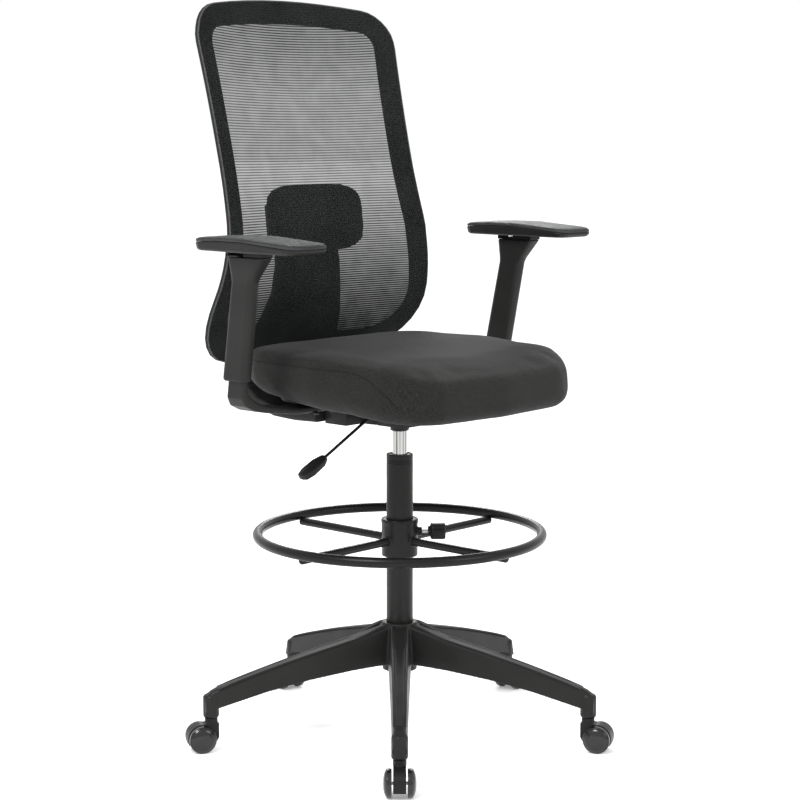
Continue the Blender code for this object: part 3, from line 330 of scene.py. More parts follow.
def woven_fabric(name, colour, pitch):
    """Upholstery cloth: crossed threads, heathered yarn and a soft nap."""
    look, tree, shader = new_look(name, colour, 0.92, 0.0, 0.12)
    threads = weave_height(tree, pitch)
    yarn = noise(tree, 420.0, 3.0, 0.75)
    shade = plus(tree, times(tree, threads, 0.45), times(tree, yarn, 0.55))
    dark = tuple(channel * 0.20 for channel in colour)
    light = tuple(channel * 2.3 for channel in colour)
    tree.links.new(ramp(tree, shade, ((0.32, dark), (0.68, light))), shader.inputs["Base Color"])
    shader.inputs["Sheen Weight"].default_value = 0.08
    shader.inputs["Sheen Roughness"].default_value = 0.5
    bump(tree, shader, threads, 0.55, 0.0004)
    bump(tree, shader, noise(tree, 60.0, 4.0), 0.12, 0.0015)
    return look


def stretched_net(name, colour):
    """See-through knit: dense ribs one above the other, with open gaps between them."""
    look, tree, shader = new_look(name, colour, 1.0, 0.0, 0.0)
    tinted(tree, shader, colour, 12.0, 0.85, 1.2)
    x, _, z = axes(tree, position(tree))
    sag = times(tree, times(tree, excess(tree, z, SAG_START), times(tree, x, x)), RIB_SAG)
    drawn = minus(tree, z, times(tree, excess(tree, CLOSE_START, z), RIB_CLOSE))
    level = minus(tree, drawn, sag)
    wave = maths(tree, "SINE", times(tree, level, math.tau / RIB_PITCH))
    ribs = maths(tree, "POWER", plus(tree, times(tree, wave, 0.5), 0.5), 1.7)
    posts = maths(tree, "SINE", times(tree, x, math.tau / POST_PITCH))
    cover = plus(tree, times(tree, ribs, 0.34), times(tree, posts, 0.02))
    drift = spread(tree, noise(tree, 30.0), -0.03, 0.03)
    alpha = plus(tree, plus(tree, cover, 0.58), drift)
    alpha = plus(tree, alpha, times(tree, excess(tree, level, DENSE_ABOVE), 0.9))
    alpha = plus(tree, alpha, times(tree, excess(tree, DENSE_BELOW, level), 1.2))
    clamped = node(tree, "ShaderNodeClamp")
    tree.links.new(alpha, clamped.inputs["Value"])
    tree.links.new(clamped.outputs["Result"], shader.inputs["Alpha"])
    bump(tree, shader, cover, 0.2, 0.0003)
    return look


def soft_skin(name, colour):
    """Integral-skin foam: fine leather grain on a satin surface."""
    look, tree, shader = new_look(name, colour, 0.6, 0.0, 0.12)
    tinted(tree, shader, colour, 20.0, 0.9, 1.12)
    gloss = spread(tree, noise(tree, 90.0, 5.0), 0.50, 0.66)
    tree.links.new(gloss, shader.inputs["Roughness"])
    cells = node(tree, "ShaderNodeTexVoronoi", Scale=900.0)
    tree.links.new(position(tree), cells.inputs["Vector"])
    bump(tree, shader, cells.outputs["Distance"], 0.18, 0.0002)
    return look


def floor_paint(name):
    """Studio white that glows a little, so that it meets the backdrop without an edge."""
    look, tree, shader = new_look(name, (0.96, 0.96, 0.96), 0.9, 0.0, 0.05)
    tinted(tree, shader, (0.96, 0.96, 0.96), 3.0, 0.997, 1.0)
    shader.inputs["Emission Color"].default_value = (1.0, 1.0, 1.0, 1.0)
    shader.inputs["Emission Strength"].default_value = 0.22
    return look


# ---------------------------------------------------------------- mesh helpers


def new_object(name, mesh, look):
    obj = bpy.data.objects.new(name, mesh)
    mesh.materials.clear()
    mesh.materials.append(look)
    bpy.context.scene.collection.objects.link(obj)
    return obj


def smooth_by_angle(mesh, degrees):
    mesh.shade_smooth()
    mesh.set_sharp_from_angle(angle=math.radians(degrees))


def from_bmesh(bm, name, look, degrees=40):
    bmesh.ops.recalc_face_normals(bm, faces=bm.faces)
    mesh = bpy.data.meshes.new(name)
    bm.to_mesh(mesh)
    bm.free()
    smooth_by_angle(mesh, degrees)
    return new_object(name, mesh, look)


def baked(obj, degrees=40):
    """The object with its modifiers applied."""
    graph = bpy.context.evaluated_depsgraph_get()
    mesh = bpy.data.meshes.new_from_object(obj.evaluated_get(graph))
    obj.modifiers.clear()
    obj.data = mesh
    smooth_by_angle(mesh, degrees)
    return obj


def stand_for(obj, *names, slot=None):
    """The piece rides on the body of the CAD nodes that it takes the place of."""
    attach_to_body(obj, NODES[names[0]]["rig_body"])
    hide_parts(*names)
    return obj


def attach(obj, body):
    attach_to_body(obj, body)
    return obj


def welded(node_name):
    """A copy of a CAD node's mesh with its coincident points welded."""
    bm = bmesh.new()
    bm.from_mesh(NODES[node_name].data)
    bmesh.ops.remove_doubles(bm, verts=bm.verts, dist=0.00002)
    return bm


def bridge(bm, rows):
    """Faces between each row of points and the next, where every row is a closed loop."""
    count = len(rows[0])
    for near, far in zip(rows, rows[1:]):
        for i in range(count):
            j = (i + 1) % count
            bm.faces.new((near[i], near[j], far[j], far[i]))


def softened(name, node_name, look, voxel, rounds):
    """A moulding made from a CAD node: evenly remeshed, with its edges rounded over."""
    obj = from_bmesh(welded(node_name), name, look)
    remesh = obj.modifiers.new("even", "REMESH")
    remesh.mode = "VOXEL"
    remesh.voxel_size = voxel
    ease = obj.modifiers.new("ease", "SMOOTH")
    ease.factor = 0.5
    ease.iterations = rounds
    return baked(obj, 60)


def edged(name, node_name, look, width):
    """A sheet-metal piece made from a CAD node, with its edges eased."""
    bm = welded(node_name)
    flat = math.radians(1.0)
    bmesh.ops.dissolve_limit(bm, angle_limit=flat, verts=bm.verts, edges=bm.edges)
    obj = from_bmesh(bm, name, look)
    ease = obj.modifiers.new("ease", "BEVEL")
    ease.width = width
    ease.segments = 2
    ease.limit_method = "ANGLE"
    ease.angle_limit = math.radians(50)
    ease.harden_normals = False
    return baked(obj)


def lathe(name, profile, look, steps=64, degrees=35):
    """A turned piece about Z, from (radius, height) points run round its section."""
    bm = bmesh.new()
    points = [bm.verts.new((radius, 0.0, height)) for radius, height in profile]
    edges = [bm.edges.new(pair) for pair in zip(points, points[1:])]
    if profile[0][0] > 0 or profile[-1][0] > 0:
        edges.append(bm.edges.new((points[-1], points[0])))
    bmesh.ops.spin(
        bm,
        geom=points + edges,
        cent=(0, 0, 0),
        axis=(0, 0, 1),
        angle=math.tau,
        steps=steps,
        use_merge=True,
    )
    bmesh.ops.remove_doubles(bm, verts=bm.verts, dist=0.00001)
    return from_bmesh(bm, name, look, degrees)


def fillet(centre, radius, start, end, count=5):
    """Points on an arc of a profile, angles in degrees."""
    points = []
    for i in range(count):
        angle = math.radians(start + (end - start) * i / (count - 1))
        points.append((centre[0] + radius * math.cos(angle), centre[1] + radius * math.sin(angle)))
    return points


def tube(name, points, radius, look, cyclic=False, resolution=4):
    """A round bar or cord along points, as a mesh."""
    curve = bpy.data.curves.new(name, "CURVE")
    curve.dimensions = "3D"
    curve.bevel_depth = radius
    curve.bevel_resolution = resolution
    curve.use_fill_caps = True
    spline = curve.splines.new("POLY")
    spline.points.add(len(points) - 1)
    for control, point in zip(spline.points, points):
        control.co = (*point, 1.0)
    spline.use_cyclic_u = cyclic
    obj = bpy.data.objects.new(name, curve)
    bpy.context.scene.collection.objects.link(obj)
    bpy.context.view_layer.update()
    graph = bpy.context.evaluated_depsgraph_get()
    mesh = bpy.data.meshes.new_from_object(obj.evaluated_get(graph))
    bpy.data.objects.remove(obj)
    bm = bmesh.new()
    bm.from_mesh(mesh)
    bmesh.ops.remove_doubles(bm, verts=bm.verts, dist=0.00001)
    return from_bmesh(bm, name, look, 50)


def turned_to(obj, where, direction):
    """Moves the mesh so that its Z points that way from a place."""
    turn = Vector(direction).to_track_quat("Z", "Y").to_matrix().to_4x4()
    obj.data.transform(Matrix.Translation(where) @ turn)
    return obj


def joint(name):
    return next(row for row in FRAME["joints"] if row["name"] == name)


def smoothstep(share):
    share = min(1.0, max(0.0, share))
    return share * share * (3 - 2 * share)


def mix(start, end, share):
    return start + (end - start) * share


# ---------------------------------------------------------------- base and casters


def hub_ring():
    """Turned collar of the base, round the column."""
    _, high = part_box("base_star")
    inner = COLUMN_RADIUS + 0.0004
    top = high.z
    profile = [(inner, top - 0.030), (inner, top + 0.0002)]
    profile += fillet((0.0315, top - 0.0018), 0.0020, 90, 0)
    profile += [(0.0335, top - 0.022), (0.0325, top - 0.030)]
    ring = lathe("base_hub_collar", profile, LOOKS["base_nylon"])
    return attach(ring, "base")


def arm_ridges(index, angle):
    """Two raised ribs that run from the hub along an arm's top and fade into its tip."""
    ridges = bmesh.new()
    turn = Matrix.Rotation(angle, 4, "Z")
    stations, arc_points = 29, 7
    for side in (-1, 1):
        rows = []
        for i in range(stations):
            share = i / (stations - 1)
            reach = mix(RIDGE_START, RIDGE_END, share)
            across = side * mix(0.0128, 0.0082, share)
            top = arm_top(reach)
            height = mix(0.0024, 0.0012, smoothstep((reach - 0.05) / 0.10))
            height *= 1 - smoothstep((reach - (RIDGE_END - RIDGE_FADE)) / RIDGE_FADE)
            crown, sole = [], []
            for j in range(arc_points):
                bow = math.pi * j / (arc_points - 1)
                y = across + RIDGE_HALF_WIDTH * math.cos(bow)
                crown.append(Vector((reach, y, top - 0.0008 + height * math.sin(bow))))
                sole.append(Vector((reach, y, top - 0.003)))
            rows.append([ridges.verts.new(turn @ point) for point in crown + sole[::-1]])
        bridge(ridges, rows)
        ridges.faces.new(rows[0])
        ridges.faces.new(rows[-1])
    obj = from_bmesh(ridges, f"base_arm_{index + 1}_ridges", LOOKS["base_nylon"], 60)
    return attach(obj, "base")


def arm_top(reach):
    """Height of the base's ridge, as the CAD has it."""
    bow = ARM_HEIGHT - ARM_SLOPE * reach - ARM_CURL * reach * reach
    return bow + HUB_RISE * smoothstep((0.09 - reach) / 0.06)


def base():
    star = softened("base_moulding", "base_star", LOOKS["base_nylon"], 0.0016, 5)
    stand_for(star, "base_star", slot="black_nylon")
    hub_ring()
    for index in range(5):
        arm_ridges(index, math.radians(222.5 + 72 * index))


def wheel(name, node_name, joint_name):
    """A domed caster wheel: rounded shoulders, a rim groove and a ringed inner face."""
    row = joint(joint_name)
    centre = Vector(row["pos_m"])
    low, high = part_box(node_name)
    middle = (low + high) / 2
    radius = centre.z
    inner = 0.0138
    outer = 0.0290
    bore, bore_depth, groove_depth = 0.0034, 0.0080, 0.0013
    profile = [(bore, inner + bore_depth), (bore, inner), (0.0090, inner)]
    for groove in (0.0098, 0.0136, 0.0174):
        profile += [(groove, inner + groove_depth), (groove + 0.0020, inner + groove_depth)]
        profile += [(groove + 0.0027, inner)]
    profile += fillet((radius - 0.0012, inner + 0.0012), 0.0012, -90, 0, 4)
    profile += fillet((radius - 0.0022, outer - 0.0078), 0.0022, 0, 62, 5)
    profile += [(0.0232, outer - 0.0052), (0.0227, outer - 0.0054), (0.0222, outer - 0.0046)]
    profile += [(0.0170, outer - 0.0022), (0.0120, outer - 0.0011), (0.0060, outer - 0.0003)]
    profile += [(0.0, outer), (0.0, inner + bore_depth)]
    disc = lathe(name, profile, LOOKS["wheel_nylon"], 72)
    axis = Vector(row["axis"])
    if (middle - centre).dot(axis) < 0:
        axis = -axis
    turned_to(disc, centre, axis)
    return stand_for(disc, node_name, slot="gloss_wheel_nylon")


def casters():
    for k in range(1, 6):
        name = f"caster_{k}"
        body = softened(f"{name}_hood", f"{name}_housing", LOOKS["caster_nylon"], 0.0008, 3)
        stand_for(body, f"{name}_housing", slot="black_nylon")
        for side in ("left", "right"):
            wheel(f"{name}_{side}_disc", f"{name}_wheel_{side}", f"{name}_{side}_roll")
        for part in ("stem", "axle"):
            repaint(f"{name}_{part}", "zinc")


# ---------------------------------------------------------------- column and foot ring


def column():
    low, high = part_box("column_tube")
    top, foot = high.z, low.z
    outer, inner = COLUMN_RADIUS, 0.0231
    profile = [(inner, top - 0.0010), (inner + 0.0006, top)]
    profile += [(outer - 0.0010, top), (outer, top - 0.0012)]
    for depth in (0.0105, 0.0150):
        groove = top - depth
        profile += [(outer, groove), (outer - 0.0007, groove - 0.0006)]
        profile += [(outer - 0.0007, groove - 0.0014), (outer, groove - 0.0020)]
    profile += [(outer, foot + 0.004), (outer - 0.002, foot), (inner, foot + 0.0002)]
    pipe = lathe("column_pipe", profile, LOOKS["column_steel"], 96)
    stand_for(pipe, "column_tube", slot="black_powder_coat")
    low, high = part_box("column_guide_bush")
    bore = CYLINDER_RADIUS + 0.0004
    lip = [(bore, low.z), (bore, high.z - 0.001), (bore + 0.001, high.z)]
    lip += [(inner - 0.0008, high.z), (inner - 0.0003, high.z - 0.0006), (inner - 0.0003, low.z)]
    bush = lathe("column_bush_lip", lip, LOOKS["acetal"], 64)
    stand_for(bush, "column_guide_bush", slot="white_acetal")
    low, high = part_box("lift_cylinder")
    start = high.z - 0.0361
    pin_bore, rod_bore, pin_depth = 0.0028, 0.0054, 0.062
    skin = [(pin_bore, high.z), (0.0110, high.z), (0.0118, high.z - 0.001)]
    skin += [(0.0130, start + 0.001), (CYLINDER_RADIUS - 0.0003, start)]
    skin += [(CYLINDER_RADIUS, start - 0.002), (CYLINDER_RADIUS, low.z), (rod_bore, low.z)]
    skin += [(rod_bore, high.z - pin_depth), (pin_bore, high.z - pin_depth)]
    cylinder = lathe("lift_cylinder_skin", skin, LOOKS["chrome"], 72)
    stand_for(cylinder, "lift_cylinder", slot="chrome")
    for name in ("lift_rod", "lift_thrust_bearing", "lift_retaining_clip", "lift_valve_pin"):
        repaint(name, "zinc")


def circle(radius, height, count=144):
    points = []
    for i in range(count):
        angle = math.tau * i / count
        points.append((radius * math.cos(angle), radius * math.sin(angle), height))
    return points


def foot_ring():
    low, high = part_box("foot_ring_tube")
    thick = (high.z - low.z) / 2
    height = (high.z + low.z) / 2
    radius = high.x - thick
    ring = tube("foot_ring_bar", circle(radius, height), thick, LOOKS["ring_steel"], True, 7)
    stand_for(ring, "foot_ring_tube", slot="black_powder_coat")
    collar = softened("foot_ring_spider", "foot_ring_collar", LOOKS["ring_steel"], 0.0011, 4)
    stand_for(collar, "foot_ring_collar", slot="black_powder_coat")
    repaint("foot_ring_bush", "fine_nylon")
    for index in range(4):
        weld_bead(index, radius, thick, height)


def weld_bead(index, radius, thick, height):
    """The rippled seam where a spoke meets the ring."""
    angle = index * math.pi / 2
    half_width, half_height = 0.0086, 0.0068
    middle = Vector((radius - thick * 0.86, 0, height - thick * 0.42))
    across, up = Vector((0, 1, 0)), Vector((0.42, 0, 0.86)).normalized()
    turn = Matrix.Rotation(angle, 4, "Z")
    points = []
    for i in range(40):
        turn_at = math.tau * i / 40
        ripple = 1 + 0.05 * math.sin(20 * turn_at)
        sideways = across * (half_width * ripple * math.cos(turn_at))
        upwards = up * (half_height * ripple * math.sin(turn_at))
        points.append(turn @ (middle + (sideways + upwards)))
    bead = tube(f"spoke_weld_{index + 1}", points, 0.0013, LOOKS["ring_steel"], True, 3)
    attach(bead, "foot_ring")


def clamp():
    """Scalloped clamp knob with a stepped neck and a domed end."""
    row = joint("clamp_knob_turn")
    axis = Vector(row["axis"])
    if axis.x < 0:
        axis = -axis
    start = Vector((0, 0, row["pos_m"][2]))
    bm = bmesh.new()
    neck = ((0.0530, 0.52), (0.0532, 0.60), (0.0570, 0.62), (0.0578, 0.86), (0.0592, 0.97))
    grip = ((0.0620, 1.0), (0.0815, 1.0), (0.0842, 0.97), (0.0856, 0.88))
    dome = ((0.0860, 0.70), (0.0858, 0.40), (0.0857, 0.05))
    knob_radius, scallops, steps = 0.0164, 6, 96
    rows = []
    for along, share in neck + grip + dome:
        scallop = 0.06 * min(1.0, max(0.0, (share - 0.62) / 0.24))
        row_points = []
        for i in range(steps):
            angle = math.tau * i / steps
            radius = knob_radius * share * (1 - scallop + scallop * math.cos(scallops * angle))
            point = (radius * math.cos(angle), radius * math.sin(angle), along)
            row_points.append(bm.verts.new(point))
        rows.append(row_points)
    bridge(bm, rows)
    bm.faces.new(rows[0])
    bm.faces.new(rows[-1])
    knob = from_bmesh(bm, "clamp_knob_grip", LOOKS["knob_nylon"], 45)
    turned_to(knob, start, axis)
    stand_for(knob, "clamp_knob", slot="black_nylon")
    repaint("clamp_stud", "zinc")


# ---------------------------------------------------------------- mechanism and lever


def hex_bolt(name, where, direction, size, body):
    """Button-head bolt with a washer and a hexagon socket."""
    head = size * 0.42
    washer, socket = size * 0.72, size * 0.21
    profile = [(0.0, 0.0), (washer, 0.0), (washer, size * 0.10), (size * 0.50, size * 0.12)]
    profile += [(size * 0.50, head * 0.35), (size * 0.46, head * 0.62), (size * 0.36, head * 0.88)]
    profile += [(size * 0.24, head), (socket, head * 0.96), (socket, head * 0.35)]
    profile += [(0.0, head * 0.33)]
    bolt = lathe(name, profile, LOOKS["black_oxide"], 24)
    turned_to(bolt, where, direction)
    return attach(bolt, body)


def mechanism():
    plate = edged("mechanism_plate", "mechanism_housing", LOOKS["plate_steel"], 0.0009)
    stand_for(plate, "mechanism_housing", slot="black_powder_coat")
    _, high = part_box("mechanism_housing")
    under = high.z - 0.003
    rear = ((-0.098, 0.040), (-0.098, 0.074), (0.098, 0.040), (0.098, 0.074))
    front = ((-0.055, -0.055), (0.055, -0.055))
    for i, (x, y) in enumerate(rear + front):
        hex_bolt(f"plate_bolt_{i + 1}", (x, y, under), (0, 0, -1), 0.012, "seat_unit")
    repaint("lever_pivot_pin", "zinc")
    notch_cover(high.z - PLATE_DEPTH)


def notch_cover(foot):
    """Rubber tab with rounded corners that closes the lever's notch below the rod."""
    half_width, rise, thick, corner = 0.0056, 0.0156, 0.0012, 0.0020
    outline = [(-half_width, rise), (-half_width, corner)]
    outline += fillet((-half_width + corner, corner), corner, 180, 270)
    outline += fillet((half_width - corner, corner), corner, 270, 360) + [(half_width, rise)]
    bm = bmesh.new()
    for x in (NOTCH_WALL, NOTCH_WALL + thick):
        bm.faces.new([bm.verts.new((x, y, foot + 0.0005 + z)) for y, z in outline])
    bm.faces.ensure_lookup_table()
    bridge(bm, [list(face.verts) for face in bm.faces])
    tab = from_bmesh(bm, "lever_notch_tab", LOOKS["fine_nylon"])
    attach(tab, "seat_unit")


def lever():
    bar = softened("lever_bar", "lever_rod", LOOKS["column_steel"], 0.0006, 3)
    stand_for(bar, "lever_rod", slot="black_powder_coat")
    paddle = edged("lever_grip", "lever_paddle", LOOKS["paddle_nylon"], 0.0006)
    stand_for(paddle, "lever_paddle", slot="black_nylon")


# ---------------------------------------------------------------- seat


def nearest_cap(mesh, start, limit):
    """Keeps each point within a distance of where it started."""
    for vert, home in zip(mesh.vertices, start):
        move = vert.co - home
        if move.length > limit:
            vert.co = home + move * (limit / move.length)


def inflated(obj, pressure, limit, hold):
    """Cloth swollen by air, on a closed form; hold(point) is 1 where it stays put."""
    start = [vert.co.copy() for vert in obj.data.vertices]
    pinned = obj.vertex_groups.new(name="hold")
    for vert in obj.data.vertices:
        weight = hold(vert.co)
        if weight > 0:
            pinned.add([vert.index], weight, "REPLACE")
    cloth = obj.modifiers.new("air", "CLOTH")
    settings = cloth.settings
    settings.use_pressure = True
    settings.uniform_pressure_force = pressure
    settings.vertex_group_mass = "hold"
    settings.tension_stiffness = 20
    settings.compression_stiffness = 20
    settings.bending_stiffness = 0.8
    settings.effector_weights.gravity = 0.0
    cloth.collision_settings.use_collision = False
    scene = bpy.context.scene
    for frame_number in range(1, SWELL_FRAMES + 1):
        scene.frame_set(frame_number)
    baked(obj, 180)
    nearest_cap(obj.data, start, limit)
    scene.frame_set(1)
    return obj


def seat():
    low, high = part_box("seat_cushion")
    _, board_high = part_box("seat_pan")
    cover = softened("seat_cover", "seat_cushion", LOOKS["seat_fabric"], 0.006, 4)
    middle = (low + high) / 2
    for vert in cover.data.vertices:
        away = vert.co - middle
        held = smoothstep((low.z + 0.045 - vert.co.z) / 0.02)
        for i in range(3):
            away[i] *= mix(COVER_SHRINK[i], 1.0, held)
        vert.co = middle + away

    def hold(point):
        """The underside stays flat on the board."""
        flat = smoothstep((board_high.z + 0.012 - point.z) / 0.006)
        inside = smoothstep((board_high.x + 0.015 - abs(point.x)) / 0.02)
        return flat * inside

    inflated(cover, 4.0, SWELL_LIMIT, hold)
    settle = cover.modifiers.new("settle", "SMOOTH")
    settle.factor = 0.5
    settle.iterations = 10
    baked(cover, 180)
    ease = cover.modifiers.new("fine", "SUBSURF")
    ease.levels = ease.render_levels = 1
    baked(cover, 180)
    stand_for(cover, "seat_cushion", slot="charcoal_fabric")
    seams(cover)
    repaint("seat_pan", "dust_cover")


def seams(cover):
    """The sewn line on each side: level from the rear, then down round the front corner."""
    graph = bpy.context.evaluated_depsgraph_get()
    surface = cover.evaluated_get(graph)
    for label, side in (("left", 1), ("right", -1)):
        points = []
        for i in range(90):
            y = mix(SEAM_REAR, SEAM_FRONT, i / 89)
            height = SEAM_HEIGHT - SEAM_DROP * max(0.0, SEAM_TURN - y) ** SEAM_POWER
            start, inwards = Vector((side * 0.6, y, height)), Vector((-side, 0, 0))
            hit, place, normal, _ = surface.ray_cast(start, inwards)
            if hit and height > SEAM_LOWEST and abs(place.x) > SEAM_NEAREST:
                points.append(place - normal * 0.0002)
        for _ in range(4):
            inner = zip(points, points[1:], points[2:])
            points = [points[0]] + [(a + b * 2 + c) / 4 for a, b, c in inner] + [points[-1]]
        cord = tube(f"seat_seam_{label}", points, 0.0011, LOOKS["thread"], False, 3)
        attach(cord, "seat_unit")


# ---------------------------------------------------------------- back


def side_depth(z):
    """How far back the sides of the back lie at a height, as the CAD has it."""
    drop = max(0.0, LUMBAR_LOW - z)
    rise = max(0.0, z - LUMBAR_HIGH)
    ease = 0.008
    lean = rise - ease * (1 - math.exp(-rise / ease))
    return LUMBAR_DEPTH + BACK_CURL * drop * drop + BACK_RECLINE * lean


def back_half_width(z):
    flare = FLARE_BELOW if z < WAIST else FLARE_ABOVE
    return WAIST_HALF_WIDTH + flare * (WAIST - z) ** 2


def back_depth(x, z):
    wrap = mix(WRAP_AT_FOOT, 1.0, smoothstep((z - FOOT_HEIGHT) / WRAP_RISE)) * BACK_WRAP
    return side_depth(z) + wrap * (1 - min(1.0, (x / WAIST_HALF_WIDTH) ** 2))


def back_outline(inset, foot, head, fine=1):
    """Points (x, z) around the back, drawn in from its edge, with fine times the CAD's points."""
    half = WAIST_HALF_WIDTH - inset
    low = BOTTOM_CORNER - inset
    high = TOP_CORNER - 0.8 * inset
    bottom, top = foot + inset, head - inset
    right = [((half - low) * i / (3 * fine), bottom) for i in range(3 * fine)]
    right += fillet((half - low, bottom + low), low, 270, 360, 9 * fine)
    sides = 24 * fine
    for i in range(1, sides):
        right.append((half, mix(bottom + low, top - high, i / sides)))
    right += fillet((half - high, top - high), high, 0, 90, 8 * fine)
    right += [((half - high) * (1 - i / (4 * fine)), top) for i in range(1, 4 * fine + 1)]
    left = [(-x, z) for x, z in reversed(right[1:-1])]
    points = []
    for x, z in right + left:
        share = (z - foot) / (head - foot)
        wide = x * (back_half_width(z) - inset) / half
        points.append((wide, z - BACK_ARCH * (x / WAIST_HALF_WIDTH) ** 2 * share**2))
    return points


def back_rim():
    """The moulded rim: a flat band with rounded edges that carries the mesh."""
    low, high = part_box("back_frame")
    foot, head = low.z, high.z
    half = FRAME_DEPTH / 2
    section = [(0.0040, -half), (0.0015, -half * 0.75), (0.0004, -half * 0.3)]
    section += [(0.0004, half * 0.3), (0.0015, half * 0.8), (0.0040, half)]
    section += [(0.0200, half + 0.0006), (FRAME_BAND - 0.006, half)]
    section += [(FRAME_BAND - 0.002, half * 0.6), (FRAME_BAND, 0.0)]
    section += [(FRAME_BAND - 0.002, -half * 0.7), (FRAME_BAND - 0.005, -half)]
    loops = [back_outline(inset, foot, head) for inset, _ in section]
    bm = bmesh.new()
    rows = []
    for loop, (_, depth) in zip(loops, section):
        rows.append([bm.verts.new((x, back_depth(x, z) + depth, z)) for x, z in loop])
    bridge(bm, rows + rows[:1])
    rim = from_bmesh(bm, "back_rim", LOOKS["rim_nylon"], 50)
    stand_for(rim, "back_frame", slot="black_nylon")


def back_net():
    """The mesh, stretched over the rim to its edge, as one sheet."""
    low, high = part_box("back_frame")
    near = -(FRAME_DEPTH / 2 + 0.0010)
    outline = back_outline(0.0022, low.z, high.z)
    middle = (low.z + high.z) / 2
    rings = 14
    bm = bmesh.new()
    rows = []
    for share in (i / rings for i in range(1, rings + 1)):
        row = []
        for x, z in outline:
            px, pz = x * share, mix(middle, z, share)
            row.append(bm.verts.new((px, back_depth(px, pz) + near, pz)))
        rows.append(row)
    hub = bm.verts.new((0, back_depth(0, middle) + near, middle))
    count = len(outline)
    for i in range(count):
        j = (i + 1) % count
        bm.faces.new((hub, rows[0][i], rows[0][j]))
        for inner, outer in zip(rows, rows[1:]):
            bm.faces.new((inner[i], outer[i], outer[j], inner[j]))
    net = from_bmesh(bm, "back_net", LOOKS["net"], 180)
    stand_for(net, "back_mesh", slot="black_mesh")
    # The edge cord is piping; its lighter grey is a painted highlight along the back's outer edge.
    edge = []
    for x, z in back_outline(0.0012, low.z, high.z):
        edge.append(Vector((x, back_depth(x, z) + near + 0.0010, z)))
    cord = tube("back_edge_welt", edge, 0.0015, LOOKS["welt_painted_highlight"], True, 3)
    attach(cord, "seat_unit")


def back_post():
    support = softened("back_post", "back_support", LOOKS["post_nylon"], 0.0022, 5)
    stand_for(support, "back_support", slot="black_nylon")
    low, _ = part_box("back_support")
    for i, x in enumerate((-0.055, 0.0, 0.055)):
        where = (x, 0.125, low.z + 0.0004)
        hex_bolt(f"post_bolt_{i + 1}", where, (0, 0, -1), 0.011, "seat_unit")


def lumbar():
    pad = softened("lumbar_cushion", "lumbar_pad", LOOKS["lumbar_skin"], 0.0030, 4)
    stand_for(pad, "lumbar_pad", slot="soft_pad_skin")
    carrier = softened("lumbar_slider", "lumbar_carrier", LOOKS["post_nylon"], 0.0012, 3)
    stand_for(carrier, "lumbar_carrier", slot="black_nylon")


# ---------------------------------------------------------------- arms


def armrest_bead(label, pad):
    """The moulded bead round the foot of the soft top, where it meets the tray."""
    low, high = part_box(f"{label}_arm_pad")
    middle = (low + high) / 2
    graph = bpy.context.evaluated_depsgraph_get()
    surface = pad.evaluated_get(graph)
    points = []
    for i in range(160):
        angle = math.tau * i / 160
        outward = Vector((math.cos(angle), math.sin(angle), 0))
        y = middle.y + (high.y - middle.y) * outward.y
        drop = BEAD_CROWN * ((y - ARMREST_MIDDLE) / ARMREST_HALF_LENGTH) ** 2
        target = Vector((middle.x, mix(middle.y, y, 0.6), BEAD_HEIGHT - drop))
        start = Vector((middle.x + 0.2 * outward.x, target.y + 0.2 * outward.y, target.z))
        hit, place, _, _ = surface.ray_cast(start, -outward)
        if hit:
            points.append(Vector((place.x, place.y, BEAD_HEIGHT - drop)))
    bead = tube(f"{label}_arm_bead", points, 0.0007, LOOKS["tray_nylon"], True, 3)
    attach(bead, f"{label}_arm")


def arm_moulding(label, piece, part, look, voxel, rounds):
    """One black moulding of an arm, in place of its CAD node."""
    name = f"{label}_arm_{part}"
    made = softened(f"{label}_arm_{piece}", name, LOOKS[look], voxel, rounds)
    return stand_for(made, name, slot="black_nylon")


def arms():
    bolts = ((0.134, -0.013), (0.134, 0.013), (0.176, -0.013), (0.176, 0.013))
    for label, side in (("left", 1), ("right", -1)):
        arm_moulding(label, "strut", "bracket", "arm_nylon", 0.0013, 14)
        arm_moulding(label, "shell", "sleeve", "arm_nylon", 0.0011, 8)
        arm_moulding(label, "tray", "pad_base", "tray_nylon", 0.0010, 3)
        pad = softened(f"{label}_arm_cushion", f"{label}_arm_pad", LOOKS["pad_skin"], 0.0009, 2)
        stand_for(pad, f"{label}_arm_pad", slot="soft_pad_skin")
        armrest_bead(label, pad)
        arm_moulding(label, "tongue", "trigger", "tray_nylon", 0.0005, 3)
        low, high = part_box(f"{label}_arm_bracket")
        for i, (x, y) in enumerate(bolts):
            where = (side * x, (low.y + high.y) / 2 + 0.003 + y, low.z - 0.0002)
            hex_bolt(f"{label}_arm_bolt_{i + 1}", where, (0, 0, -1), 0.010, "seat_unit")


# ---------------------------------------------------------------- stage


def repaint(node_name, look):
    mesh = NODES[node_name].data
    for i in range(len(mesh.materials)):
        mesh.materials[i] = LOOKS[look]
    if not mesh.materials:
        mesh.materials.append(LOOKS[look])


